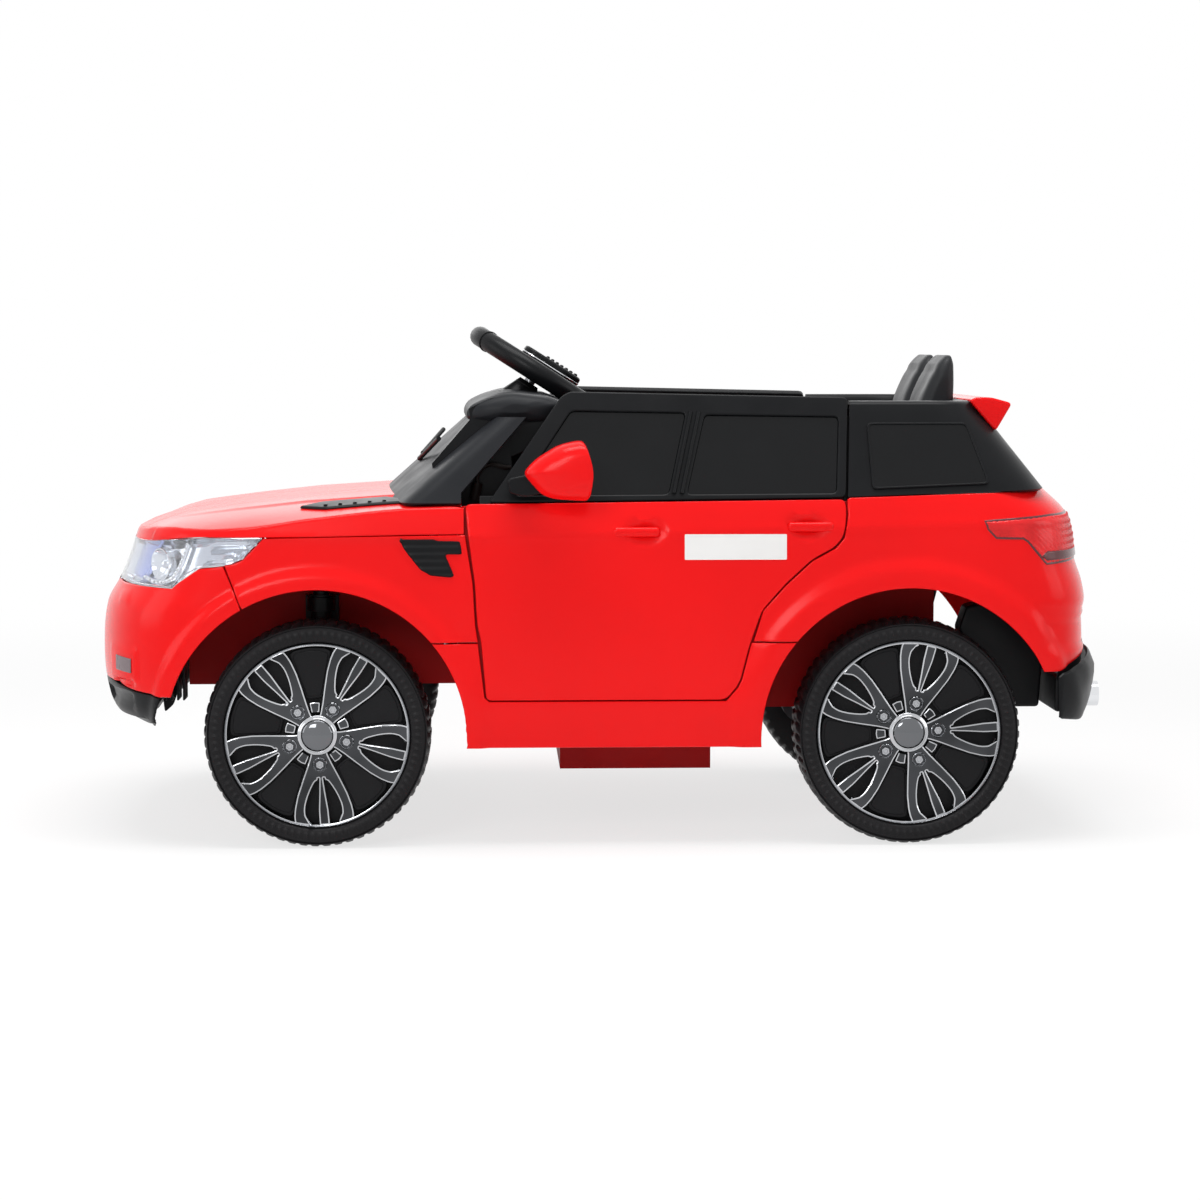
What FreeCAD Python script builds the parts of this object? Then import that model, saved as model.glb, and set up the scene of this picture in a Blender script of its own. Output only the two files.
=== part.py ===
import FreeCAD, Part
import math
import os
import re

os.makedirs("parts", exist_ok=True)
V = FreeCAD.Vector
doc = FreeCAD.newDocument("ride_on_car")
sheet = doc.addObject("Spreadsheet::Sheet", "sheet")

# Driving sizes in millimetres. X runs from nose to tail, Y from left to right, Z up from the floor.
SIZES = (
    ("length", 1040, "reference length for the body's side outlines, nose to exhaust"),
    ("height", 527, "reference height for the body's side outlines, floor to steering wheel"),
    ("half_width", 264, "body skin from the middle plane"),
    ("wall", 4, "body skin thickness"),
    ("seam", 0.3, "gap between two fixed body panels"),
    ("door_gap", 3, "gap around a door"),
    ("flare_depth", 5, "arch lip proud of the body skin"),
    ("flare_band", 20, "width of the arch lip"),
    ("front_axle_x", -285.5, "front axle"),
    ("rear_axle_x", 310.5, "rear axle"),
    ("arch_radius", 150, "wheel arch"),
    ("arch_drop", 3, "arch centre below the axle"),
    ("tyre_radius", 114, "tyre"),
    ("tyre_width", 74, "tyre, face to face"),
    ("tyre_round", 10, "tyre shoulder rounding"),
    ("tyre_inner", 188, "tyre's inner face from the middle plane"),
    ("rim_radius", 93, "trim and the dish that holds it"),
    ("dish_depth", 20, "depth of the wheel's outer dish"),
    ("back_depth", 34, "depth of the wheel's inner dish"),
    ("back_radius", 92, "wheel's inner dish"),
    ("hub_radius", 20, "wheel hub"),
    ("trim_thick", 5, "trim plate"),
    ("spoke_width", 9, "trim spoke"),
    ("trim_hub", 38, "middle disc of the trim"),
    ("cap_radius", 16, "hub cap"),
    ("cap_height", 8, "hub cap"),
    ("axle_d", 12, "axle and stub axle"),
    ("run_gap", 0.05, "radial gap of a running fit"),
    ("gap", 0.6, "gap between two moving pieces"),
    ("kingpin_y", 166, "king pin from the middle plane"),
    ("kingpin_d", 16, "king pin post"),
    ("kingpin_low", 62, "foot of the king pin"),
    ("kingpin_top", 252, "top of the king pin"),
    ("eye_radius", 14, "eye of the front beam round a king pin"),
    ("eye_low_z", 70, "lower eye"),
    ("eye_high_z", 232, "upper eye"),
    ("eye_thick", 14, "eye height"),
    ("collar_radius", 10.5, "knuckle collar round the king pin"),
    ("arm_length", 38, "steering arm and column crank"),
    ("arm_width", 16, "steering arm"),
    ("arm_thick", 8, "steering arm"),
    ("arm_z", 140, "underside of the tie rod"),
    ("rod_thick", 6, "tie rod"),
    ("rod_width", 30, "tie rod"),
    ("pin_d", 8, "tie rod pivots and crank pin"),
    ("slot_length", 22, "crank slot in the tie rod"),
    ("beam_width", 34, "front beam along X"),
    ("beam_z", 84, "underside of the front beam"),
    ("beam_height", 26, "front beam"),
    ("spine_half", 132, "half width of the tub between the front wheels"),
    ("steer_x", -61.5, "middle of the steering wheel"),
    ("steer_z", 475, "middle of the steering wheel"),
    ("steer_tilt", 32.5, "column from upright, degrees"),
    ("rim_outer", 82, "steering wheel"),
    ("rim_tube", 11, "steering wheel rim, tube radius"),
    ("boss_radius", 34, "steering wheel boss"),
    ("boss_height", 18, "steering wheel boss"),
    ("pad_radius", 25, "horn pad"),
    ("pad_height", 15, "horn pad"),
    ("pad_sink", 8, "horn pad's seat in the boss"),
    ("pad_travel", 3, "horn pad stroke"),
    ("spoke_thick", 10, "steering wheel spoke"),
    ("column_d", 12, "steering column"),
    ("tub_wall", 5, "tub wall"),
    ("cabin_half", 244, "half width of the tub between the doors"),
    ("rear_half", 150, "half width of the tub between the rear wheels"),
    ("gearbox_thick", 30, "gearbox across the car"),
    ("gearbox_radius", 46, "gearbox round the rear axle"),
    ("motor_d", 38, "drive motor"),
    ("motor_length", 70, "drive motor"),
    ("motor_back", 60, "motor ahead of the rear axle"),
    ("motor_drop_share", 0.4, "motor below the rear axle, by its diameter"),
    ("case_nose_share", 0.75, "gearbox round the motor, by its diameter"),
    ("web_low_share", 0.9, "gearbox web's low edge, by the gearbox radius"),
    ("web_high_share", 0.3, "gearbox web's high edge, by the motor diameter"),
    ("front_trim_turn", 31.5, "turn of the front trims in degrees"),
    ("rear_trim_turn", 14.4, "turn of the rear trims in degrees"),
    ("hinge_x", -156, "door hinge axis"),
    ("hinge_y", 252, "door hinge axis from the middle plane"),
    ("hinge_pin_d", 5, "door hinge pin"),
    ("hinge_low_z", 201, "lower door hinge"),
    ("hinge_high_z", 278, "upper door hinge"),
    ("neck_back", 38, "hinge neck, back from its pin"),
    ("neck_in", 25, "hinge neck, in from its pin"),
    ("neck_width", 8, "hinge neck"),
    ("arm_clear", 8, "room between a knuckle's collar and the beam's tower"),
    ("hinge_lug", 14, "height of a door hinge lug"),
    ("lug_radius", 6, "door hinge lug"),
    ("frame_thick", 9, "door window frame"),
    ("window_depth", 3, "sunk window panes"),
    ("belt_z", 349, "belt line"),
    ("belt_half", 251, "half width at the belt line"),
    ("roof_z", 459, "top of the door frames"),
    ("roof_half", 206, "half width at the top of the door frames"),
    ("screen_thick", 5, "windscreen moulding"),
    ("lens_thick", 3, "lamp lens"),
    ("screw_radius", 4, "panel screw head"),
    ("screw_head", 2.5, "panel screw head"),
    ("lead_d", 5, "dashboard lead"),
    ("plug_d", 11, "lead plug"),
    ("plug_length", 18, "lead plug"),
    ("button_d", 16, "power button"),
    ("button_height", 10, "power button"),
    ("button_proud", 4, "power button ahead of the dashboard"),
    ("pedal_width", 56, "accelerator pedal"),
    ("pedal_length", 70, "accelerator pedal"),
    ("pedal_x", -46, "accelerator pedal's pin"),
    ("pedal_thick", 9, "accelerator pedal"),
    ("tip_d", 26, "exhaust tip"),
)
for row, (alias, value, note) in enumerate(SIZES, 1):
    sheet.set("A%d" % row, note)
    sheet.set("B%d" % row, str(value))
    sheet.setAlias("B%d" % row, alias)
doc.recompute()


class Named:
    """The sheet's values under their aliases."""


s = Named()
for alias, value, note in SIZES:
    setattr(s, alias, float(sheet.get(alias)))

ALIASES = re.compile(r"\b(" + "|".join(alias for alias, value, note in SIZES) + r")\b")
ALONG_X = FreeCAD.Rotation(V(0, 1, 0), 90)
ALONG_Y = FreeCAD.Rotation(V(1, 0, 0), -90)
ALONG_Z = FreeCAD.Rotation()
TILT = FreeCAD.Rotation(V(0, 1, 0), s.steer_tilt)
NODES = []

# Side outlines: shares of the reference length from the middle, and of the reference height from the floor.
DOOR_SHARES = (
    (-0.1332, 0.6565), (-0.1303, 0.6053), (-0.1236, 0.5066), (-0.1212, 0.425), (-0.1178, 0.3985),
    (-0.113, 0.2865), (-0.1091, 0.2808), (0.1197, 0.2808), (0.1313, 0.3055), (0.1351, 0.3226),
    (0.1428, 0.3833), (0.1553, 0.4535), (0.1774, 0.5028), (0.2024, 0.5484), (0.2255, 0.5731),
    (0.2341, 0.592), (0.238, 0.6281), (0.237, 0.666),
)
FENDER_SHARES = (
    (-0.3246, 0.5934), (-0.3444, 0.5516), (-0.3552, 0.5431), (-0.362, 0.5414), (-0.3466, 0.4668),
    (-0.312, 0.3934), (-0.0909, 0.3934), (-0.0909, 0.5991), (-0.1351, 0.5991),
)
SILL_SHARES = (
    (-0.1582, 0.1898), (0.2168, 0.1898), (0.2168, 0.3928), (-0.1582, 0.3928),
)
BUMPER_SHARES = (
    (-0.5332, 0.2998), (-0.4803, 0.3074), (-0.4514, 0.296), (-0.4236, 0.2903), (-0.4034, 0.2903),
    (-0.3312, 0.408), (-0.3469, 0.4668), (-0.3623, 0.5408), (-0.3874, 0.5353), (-0.408, 0.5078),
    (-0.4138, 0.4973), (-0.4562, 0.5011), (-0.4651, 0.5036), (-0.5332, 0.5038),
)
LIP_SHARES = (
    (-0.5332, 0.2992), (-0.4803, 0.3068), (-0.4514, 0.2954), (-0.4236, 0.2898), (-0.4332, 0.241),
    (-0.4428, 0.2068), (-0.5332, 0.2068),
)
LAMP_SHARES = (
    (-0.5332, 0.5934), (-0.5332, 0.5044), (-0.4649, 0.5044), (-0.4562, 0.5019), (-0.4139, 0.4981),
    (-0.4082, 0.5085), (-0.3875, 0.5361), (-0.3553, 0.5436), (-0.3447, 0.5522), (-0.325, 0.5934),
)
GRILLE_SHARES = (
    (-0.5332, 0.5044), (-0.4178, 0.5044), (-0.4178, 0.5934), (-0.5332, 0.5934),
)
FOG_SHARES = (
    (-0.5332, 0.3643), (-0.4582, 0.3548), (-0.4582, 0.3264), (-0.5332, 0.334),
)
FENDER_VENT_SHARES = (
    (-0.1947, 0.5901), (-0.1611, 0.5901), (-0.1582, 0.5873), (-0.1361, 0.5863), (-0.1341, 0.5617),
    (-0.1505, 0.5617), (-0.1418, 0.5218), (-0.1447, 0.518), (-0.1649, 0.5218), (-0.1745, 0.5332),
    (-0.1889, 0.5693),
)
BONNET_SHARES = (
    (-0.4543, 0.5939), (-0.4495, 0.6034), (-0.437, 0.6167), (-0.412, 0.63), (-0.3495, 0.6414),
    (-0.2899, 0.6509), (-0.1351, 0.6565), (-0.1351, 0.5996), (-0.3216, 0.5939),
)
BULGE_SHARES = (
    (-0.4582, 0.5947), (-0.4524, 0.6053), (-0.4437, 0.6157), (-0.4197, 0.6338), (-0.3668, 0.648),
    (-0.2832, 0.6651), (-0.2024, 0.6774), (-0.1755, 0.6793), (-0.1755, 0.6072),
)
BONNET_VENT_SHARES = (
    (-0.2938, -0.7727), (-0.2678, -0.8409), (-0.1899, -0.8409), (-0.1851, -0.803), (-0.2082, -0.6742),
    (-0.2726, -0.697),
)
REAR_SHARES = (
    (0.0918, 0.3934), (0.3226, 0.3934), (0.3899, 0.3264), (0.4447, 0.3321), (0.4851, 0.3596),
    (0.5437, 0.3653), (0.5437, 0.6812), (0.4322, 0.6793), (0.3726, 0.6755), (0.2418, 0.667),
    (0.0918, 0.666),
)
TAIL_LAMP_SHARES = (
    (0.3707, 0.6205), (0.437, 0.63), (0.5437, 0.63), (0.5437, 0.5446), (0.4649, 0.5446), (0.4313, 0.5408),
    (0.412, 0.5844), (0.4072, 0.5901), (0.3812, 0.5911), (0.3736, 0.6072),
)
VALANCE_SHARES = (
    (0.4428, 0.3302), (0.4851, 0.359), (0.5437, 0.3647), (0.5437, 0.2087), (0.4668, 0.2087),
    (0.4495, 0.2277),
)
FRAME_SHARES = (
    (-0.1111, 0.6571), (-0.038, 0.8615), (-0.0293, 0.871), (0.2428, 0.8577), (0.237, 0.666),
)
FRONT_PANE_SHARES = (
    (-0.0284, 0.8311), (0.0832, 0.8273), (0.0649, 0.6736), (-0.0832, 0.6717),
)
REAR_PANE_SHARES = (
    (0.1014, 0.8235), (0.2322, 0.8197), (0.2274, 0.6755), (0.0822, 0.6736),
)
CANOPY_SHARES = (
    (0.2476, 0.6679), (0.2476, 0.852), (0.3745, 0.8463), (0.4466, 0.6805), (0.4322, 0.6799),
    (0.3726, 0.6761),
)
CANOPY_HOLLOW_SHARES = (
    (0.2264, 0.6452), (0.2264, 0.8406), (0.3707, 0.8359), (0.4409, 0.6736), (0.4409, 0.6452),
)
QUARTER_PANE_SHARES = (
    (0.2591, 0.8065), (0.3572, 0.8065), (0.3764, 0.6907), (0.262, 0.6812),
)
SPOILER_SHARES = (
    (0.363, 0.8491), (0.3688, 0.8558), (0.3841, 0.8558), (0.4053, 0.8444), (0.3889, 0.7894),
    (0.3822, 0.8046),
)
PILLAR_SHARES = (
    (-0.1774, 0.6594), (-0.1351, 0.6594), (-0.1351, 0.6774), (-0.0726, 0.8178), (-0.0966, 0.8178),
)
DASH_SHARES = (
    (-0.1264, 0.814), (-0.1274, 0.8349), (-0.1062, 0.8539), (-0.0861, 0.8615), (-0.0563, 0.8463),
    (-0.0678, 0.8102), (-0.0889, 0.797), (-0.0832, 0.6679), (-0.1082, 0.5693), (-0.1274, 0.5693),
    (-0.1582, 0.6452), (-0.1639, 0.7287),
)
DASH_HOLLOW_SHARES = (
    (-0.1207, 0.8178), (-0.1024, 0.8425), (-0.0861, 0.8501), (-0.0678, 0.8368), (-0.0736, 0.8197),
    (-0.0947, 0.8046), (-0.0889, 0.6698), (-0.113, 0.575), (-0.1236, 0.575), (-0.1534, 0.649),
    (-0.1582, 0.7287),
)
SEAT_SHARES = (
    (0.113, 0.3947), (0.1245, 0.4402), (0.2841, 0.4175), (0.3053, 0.4478), (0.3216, 0.5693),
    (0.3303, 0.8159), (0.3591, 0.8159), (0.3534, 0.5693), (0.338, 0.4459), (0.3245, 0.3719),
    (0.1187, 0.3719),
)
WING_SHARES = (
    (0.1495, 0.3719), (0.337, 0.3719), (0.337, 0.5085), (0.1639, 0.5085),
)
SHELF_SHARES = (
    (0.1668, 0.5047), (0.4322, 0.5047), (0.4322, 0.5123), (0.1668, 0.5123),
)
FLANGE_SHARES = (
    (-0.1005, 0.2258), (0.1303, 0.2258), (0.1303, 0.2353), (-0.1005, 0.2353),
)
LEDGE_SHARES = (
    (0.1495, 0.2467), (0.3341, 0.2467), (0.3341, 0.3719), (0.1495, 0.3719),
)
BATTERY_SHARES = (
    (0.1688, 0.2524), (0.2938, 0.2524), (0.2938, 0.3605), (0.1688, 0.3605),
)
CONTROL_SHARES = (
    (-0.3745, 0.2979), (-0.3072, 0.2979), (-0.3072, 0.3643), (-0.3745, 0.3643),
)
HUMP_SHARES = (
    (0.3274, 0.8046), (0.3284, 0.8482), (0.338, 0.9108), (0.3505, 0.9355), (0.3601, 0.9336),
    (0.362, 0.8918), (0.3601, 0.8046),
)
MIRROR_SHARES = (
    (-0.0764, 0.7173), (-0.0428, 0.7723), (-0.0187, 0.778), (-0.0111, 0.7324), (-0.0091, 0.7021),
    (-0.0149, 0.6641), (-0.0457, 0.6679), (-0.0582, 0.6755), (-0.0678, 0.7021),
)
MIRROR_ARM_SHARES = (
    (-0.0909, 0.7059), (-0.0543, 0.7211), (-0.0543, 0.6793), (-0.0736, 0.6717), (-0.0889, 0.6793),
)
CABIN_SHARES = (
    (-0.1178, 0.2125), (0.1495, 0.2125), (0.1495, 0.3719), (-0.1178, 0.3719),
)
SPINE_SHARES = (
    (-0.4082, 0.2884), (-0.1178, 0.2884), (-0.1178, 0.5693), (-0.4082, 0.4554),
)
REAR_CHASSIS_SHARES = (
    (0.3572, 0.4023), (0.3649, 0.4402), (0.3861, 0.4288), (0.438, 0.334), (0.438, 0.2486),
    (0.3841, 0.2486),
)
CHASSIS_WEB_SHARES = (
    (0.4351, 0.2486), (0.4495, 0.2486), (0.4466, 0.3264), (0.4351, 0.3264),
)
REAR_BOX_SHARES = (
    (0.1495, 0.2429), (0.337, 0.2429), (0.337, 0.3719), (0.1495, 0.3719),
)
BELLY_SHARES = (
    (-0.038, 0.1214), (0.113, 0.1214), (0.113, 0.2125), (-0.038, 0.2125),
)
# Rings of the body's outer form: height, nose, tail and half width, each as a share of its own size.
LEVEL_SHARES = (
    (0.203, -0.4543, 0.4668, 0.9735), (0.2372, -0.4851, 0.4832, 0.9886),
    (0.2884, -0.4966, 0.4918, 0.9962), (0.37, -0.5, 0.4957, 1), (0.4516, -0.4957, 0.4938, 1),
    (0.4972, -0.4832, 0.4899, 0.9981), (0.5427, -0.4736, 0.4822, 0.9943),
    (0.592, -0.4649, 0.4793, 0.9886), (0.6338, -0.4562, 0.4726, 0.9735),
    (0.6679, -0.4466, 0.4553, 0.9508), (0.6945, -0.4389, 0.4399, 0.928),
)
FRONT_CORNER_SHARE = 0.14
REAR_CORNER_SHARE = 0.1
FRONT_POWER = 2.7
REAR_POWER = 3.2
CORNER_STEPS = 8
SIDE_STEPS = 6


def bound(text):
    """A formula in alias words, written for the sheet."""
    return ALIASES.sub(r"sheet.\1", text)


def prim(kind, name, at, turn=ALONG_Z, **formulas):
    """A Part primitive whose sizes and place follow the sheet."""
    obj = doc.addObject("Part::" + kind, name)
    obj.Placement.Rotation = turn
    for prop, text in formulas.items():
        obj.setExpression(prop, bound(text))
    for axis, text in zip("xyz", at):
        obj.setExpression("Placement.Base." + axis, bound(text))
    return obj


def block(name, low, high):
    """A box between two corners, each given as three formulas."""
    lengths = ["(%s) - (%s)" % (b, a) for a, b in zip(low, high)]
    return prim("Box", name, low, Length=lengths[0], Width=lengths[1], Height=lengths[2])


def fuse(name, *parts):
    obj = doc.addObject("Part::MultiFuse", name)
    obj.Shapes = list(parts)
    return obj


def cut(name, base, *tools):
    obj = doc.addObject("Part::Cut", name)
    obj.Base = base
    obj.Tool = tools[0] if len(tools) == 1 else fuse(name + "_tools", *tools)
    return obj


def twin(name, source):
    """The mirror image on the right side."""
    obj = doc.addObject("Part::Mirroring", name)
    obj.Source = source
    obj.Normal = V(0, 1, 0)
    return obj


def group(name, *parts):
    obj = doc.addObject("Part::Compound", name)
    obj.Links = list(parts)
    return obj


def shaped(name, shape):
    """A panel whose curved form no primitive gives."""
    obj = doc.addObject("Part::Feature", name)
    obj.Shape = shape
    obj.Placement = shape.Placement
    return obj


def node(label, obj):
    obj.Label = label
    NODES.append((label, obj))
    return obj


def face_of(shares, y):
    pts = [V(a * s.length, y, b * s.height) for a, b in shares]
    return Part.Face(Part.makePolygon(pts + pts[:1]))


def prism(shares, low, high, grow=0):
    """A side outline as a solid from low to high across the car, grown by a gap where one is given."""
    face = face_of(shares, low)
    if grow:
        face = Part.Face(face.OuterWire.makeOffset2D(grow, 2))
    return face.extrude(V(0, high - low, 0))


def across(shares, half, grow=0):
    return prism(shares, -half, half, grow)


def room(low, high):
    """A plain box between two corners."""
    return Part.makeBox(high.x - low.x, high.y - low.y, high.z - low.z, low)


def rod(radius, start, end):
    way = end - start
    return Part.makeCylinder(radius, way.Length, start, way)


def mirrored(shape):
    return shape.mirror(V(0, 0, 0), V(0, 1, 0))


def ring(level, grow):
    """One closed ring of the body's outer form."""
    z_share, nose_share, tail_share, side_share = level
    nose = nose_share * s.length - grow
    tail = tail_share * s.length + grow
    side = side_share * s.half_width + grow
    front = FRONT_CORNER_SHARE * s.length
    rear = REAR_CORNER_SHARE * s.length
    half = []
    for step in range(CORNER_STEPS + 1):
        turn = math.pi / 2 * step / CORNER_STEPS
        back = 1 - max(math.cos(turn), 0) ** (2 / FRONT_POWER)
        half.append((nose + front * back, side * math.sin(turn) ** (2 / FRONT_POWER)))
    for step in range(1, SIDE_STEPS):
        share = step / SIDE_STEPS
        half.append((nose + front + (tail - rear - nose - front) * share, side))
    for step in range(CORNER_STEPS, -1, -1):
        turn = math.pi / 2 * step / CORNER_STEPS
        back = 1 - max(math.cos(turn), 0) ** (2 / REAR_POWER)
        half.append((tail - rear * back, side * math.sin(turn) ** (2 / REAR_POWER)))
    z = z_share * s.height
    loop = [V(x, -y, z) for x, y in half] + [V(x, y, z) for x, y in half[-2:0:-1]]
    curve = Part.BSplineCurve()
    curve.interpolate(Points=loop, PeriodicFlag=True)
    return Part.Wire([curve.toShape()])


def form(grow):
    """The body's outer form, grown or shrunk."""
    return Part.makeLoft([ring(level, grow) for level in LEVEL_SHARES], True)


def tent(inset):
    """The leaning sides of the upper body, as a solid across the car."""
    lean = (s.belt_half - s.roof_half) / (s.roof_z - s.belt_z)
    low = s.belt_z - s.door_gap
    high = s.roof_z + s.door_gap
    low_half = s.belt_half - inset + lean * s.door_gap
    high_half = s.roof_half - inset - lean * s.door_gap
    x = -s.length / 2
    pts = [V(x, -low_half, low), V(x, -high_half, high), V(x, high_half, high), V(x, low_half, low)]
    return Part.Face(Part.makePolygon(pts + pts[:1])).extrude(V(s.length, 0, 0))


# Body skin with its arch lips.
wide = s.half_width + s.tyre_width
axle_z = s.tyre_radius
arch_z = axle_z - s.arch_drop
outer = form(0)
inner = form(-s.wall)
arches = []
lips = []
for axle_x in (s.front_axle_x, s.rear_axle_x):
    start = V(axle_x, -wide, arch_z)
    end = V(axle_x, wide, arch_z)
    arches.append(rod(s.arch_radius, start, end))
    lips.append(rod(s.arch_radius + s.flare_band, start, end))
lip = form(s.flare_depth).common(lips[0].fuse(lips[1]))
skin = outer.fuse(lip).cut(inner.fuse(arches[0]).fuse(arches[1]))
left_low = -wide
left_high = -s.rear_half


def side_only(half):
    """All the space further out than half, on both sides."""
    far = s.length
    left = room(V(-far, -wide, 0), V(far, -half, s.height))
    return left.fuse(mirrored(left))


# Left door panel, then the fixed panels round it.
door_opening = prism(DOOR_SHARES, left_low, left_high, s.door_gap)
door_skin = skin.common(prism(DOOR_SHARES, left_low, left_high))
fender_vent = prism(FENDER_VENT_SHARES, left_low, left_high)
fender_left = skin.common(prism(FENDER_SHARES, left_low, left_high)).cut(door_opening).cut(fender_vent)
sill_left = skin.common(prism(SILL_SHARES, left_low, left_high)).cut(door_opening)
both_openings = door_opening.fuse(mirrored(door_opening))
lamp_side = side_only(s.rear_half)
grille_half = s.rear_half - s.seam
fog_zone = across(FOG_SHARES, wide).common(side_only(s.rear_half + s.flare_band))
bumper = skin.common(across(BUMPER_SHARES, wide)).cut(fog_zone)
tail_zone = across(TAIL_LAMP_SHARES, wide, s.seam).common(side_only(s.rear_half - s.seam))
rear_body = skin.common(across(REAR_SHARES, wide)).cut(both_openings).cut(tail_zone)
node("front_bumper", shaped("front_bumper", bumper))
fender_right = mirrored(fender_left)
node("fenders", group("fenders", shaped("fender_left", fender_left), shaped("fender_right", fender_right)))
node("sills", group("sills", shaped("sill_left", sill_left), shaped("sill_right", mirrored(sill_left))))
node("rear_body", shaped("rear_body", rear_body))
node("front_lip", shaped("front_lip", skin.common(across(LIP_SHARES, wide))))
proud_skin = form(s.screw_head).cut(inner)
vents = proud_skin.common(fender_vent)
vents_right = mirrored(vents)
node("fender_vents", group("fender_vents", shaped("vent_left", vents), shaped("vent_right", vents_right)))
node("fog_lamps", shaped("fog_lamps", proud_skin.common(fog_zone)))
node("tail_lamps", shaped("tail_lamps", skin.common(across(TAIL_LAMP_SHARES, wide)).common(lamp_side)))
lamps = skin.common(across(LAMP_SHARES, wide)).common(lamp_side)
node("headlamps", shaped("headlamps", lamps))
bowl_skin = form(-s.wall - s.seam).cut(form(-s.wall - s.seam - s.lens_thick))
bowls = bowl_skin.common(across(LAMP_SHARES, wide, -s.seam)).common(lamp_side)
node("headlamp_bowls", shaped("headlamp_bowls", bowls))

# Grille: a bowed plate with rows of openings.
grille = skin.common(across(GRILLE_SHARES, grille_half))
GRILLE_ROWS = 3
GRILLE_COLUMNS = 8
RIB_SHARE = 0.2
row_low = GRILLE_SHARES[0][1] * s.height
row_step = (GRILLE_SHARES[2][1] * s.height - row_low) / GRILLE_ROWS
column_step = 2 * grille_half / GRILLE_COLUMNS
for row in range(GRILLE_ROWS):
    for column in range(GRILLE_COLUMNS):
        z = row_low + row_step * (row + RIB_SHARE)
        y = -grille_half + column_step * (column + RIB_SHARE / 2)
        corner = V(-s.length, y, z)
        far_corner = V(0, y + column_step * (1 - RIB_SHARE), z + row_step * (1 - 2 * RIB_SHARE))
        grille = grille.cut(room(corner, far_corner))
node("grille", shaped("grille", grille))

# Steering axis: tilted, through the middle of the wheel, with the crank above the tie rod.
hub_at = ("steer_x", "0", "steer_z")
axis = TILT.multVec(V(0, 0, 1))
crank_way = TILT.multVec(V(1, 0, 0))
steer_mid = V(s.steer_x, 0, s.steer_z)
foot_z = s.arm_z + s.rod_thick + s.column_d + s.arm_length * axis.x
foot_length = (s.steer_z - foot_z) / axis.z
foot = steer_mid - axis * foot_length
crank_end = foot + crank_way * s.arm_length
crank_low = crank_end - axis * (s.rod_thick * 5)
column_top = steer_mid - axis * (s.boss_height / 2)
column_hole = rod(s.column_d / 2 + s.gap, foot, column_top)

# Bonnet: a shell under the shoulder line with a raised middle, and its two vents.
bulge_half = s.kingpin_y + s.wall
lowered = V(0, 0, -s.wall)
under = across(BONNET_SHARES, wide).fuse(across(BULGE_SHARES, bulge_half))
hollow = under.translated(lowered).common(inner)
bonnet_back = BONNET_SHARES[6][0] * s.length
front_end = room(V(-s.length, -wide, 0), V(bonnet_back - s.wall, wide, s.height))
bonnet = outer.common(under).cut(hollow.common(front_end))
vent_pts = [V(a * s.length, b * s.half_width, s.belt_z - s.flare_band) for a, b in BONNET_VENT_SHARES]
vent_face = Part.Face(Part.makePolygon(vent_pts + vent_pts[:1]))
vent_hole = vent_face.extrude(V(0, 0, s.flare_band * 2))
bonnet_vent = vent_hole.common(under.translated(V(0, 0, s.screw_head))).cut(hollow)
notch_half = s.column_d / 2 + s.gap
notch_low = V(bonnet_back - s.flare_band, -notch_half, 0)
column_notch = room(notch_low, V(bonnet_back + s.wall, notch_half, s.height))
bonnet = bonnet.cut(vent_hole).cut(mirrored(vent_hole)).cut(column_notch)
node("bonnet", shaped("bonnet", bonnet))
node("bonnet_vents", group("bonnet_vents", shaped("bonnet_vent_left", bonnet_vent),
                           shaped("bonnet_vent_right", mirrored(bonnet_vent))))

# Upper body: windscreen, rear canopy, spoiler, door frames.
SCREEN_BOW_SHARE = 0.032
SCREEN_TOP_SHARE = (-0.1, 0.811)
SCREEN_LOW_SHARE = (-0.1745, 0.68)


def screen_wire(x_share, z_share, half, inset):
    bow = SCREEN_BOW_SHARE * s.length
    x = x_share * s.length + inset
    z = z_share * s.height
    outside = Part.Arc(V(x, -half, z), V(x - bow, 0, z), V(x, half, z)).toShape()
    x = x + s.screen_thick
    inside = Part.Arc(V(x, half, z), V(x - bow, 0, z), V(x, -half, z)).toShape()
    ends = outside.Vertexes[-1].Point, inside.Vertexes[0].Point
    others = inside.Vertexes[-1].Point, outside.Vertexes[0].Point
    return Part.Wire([outside, Part.makeLine(*ends), inside, Part.makeLine(*others)])


screen_low = screen_wire(SCREEN_LOW_SHARE[0], SCREEN_LOW_SHARE[1], s.belt_half - s.frame_thick, 0)
screen_top = screen_wire(SCREEN_TOP_SHARE[0], SCREEN_TOP_SHARE[1], s.roof_half + s.pin_d, 0)
pane = Part.makeLoft([screen_low, screen_top], True, True)
pillars = tent(0).cut(tent(s.frame_thick + s.screen_thick)).common(across(PILLAR_SHARES, wide))
windscreen = pane.fuse(pillars).common(tent(0)).removeSplitter()
windscreen = windscreen.cut(under)
node("windscreen", shaped("windscreen", windscreen))
dash_half = s.roof_half - s.frame_thick
dash_hollow = across(DASH_HOLLOW_SHARES, dash_half - s.wall)
dash = across(DASH_SHARES, dash_half).cut(dash_hollow).cut(windscreen).cut(under)

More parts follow.
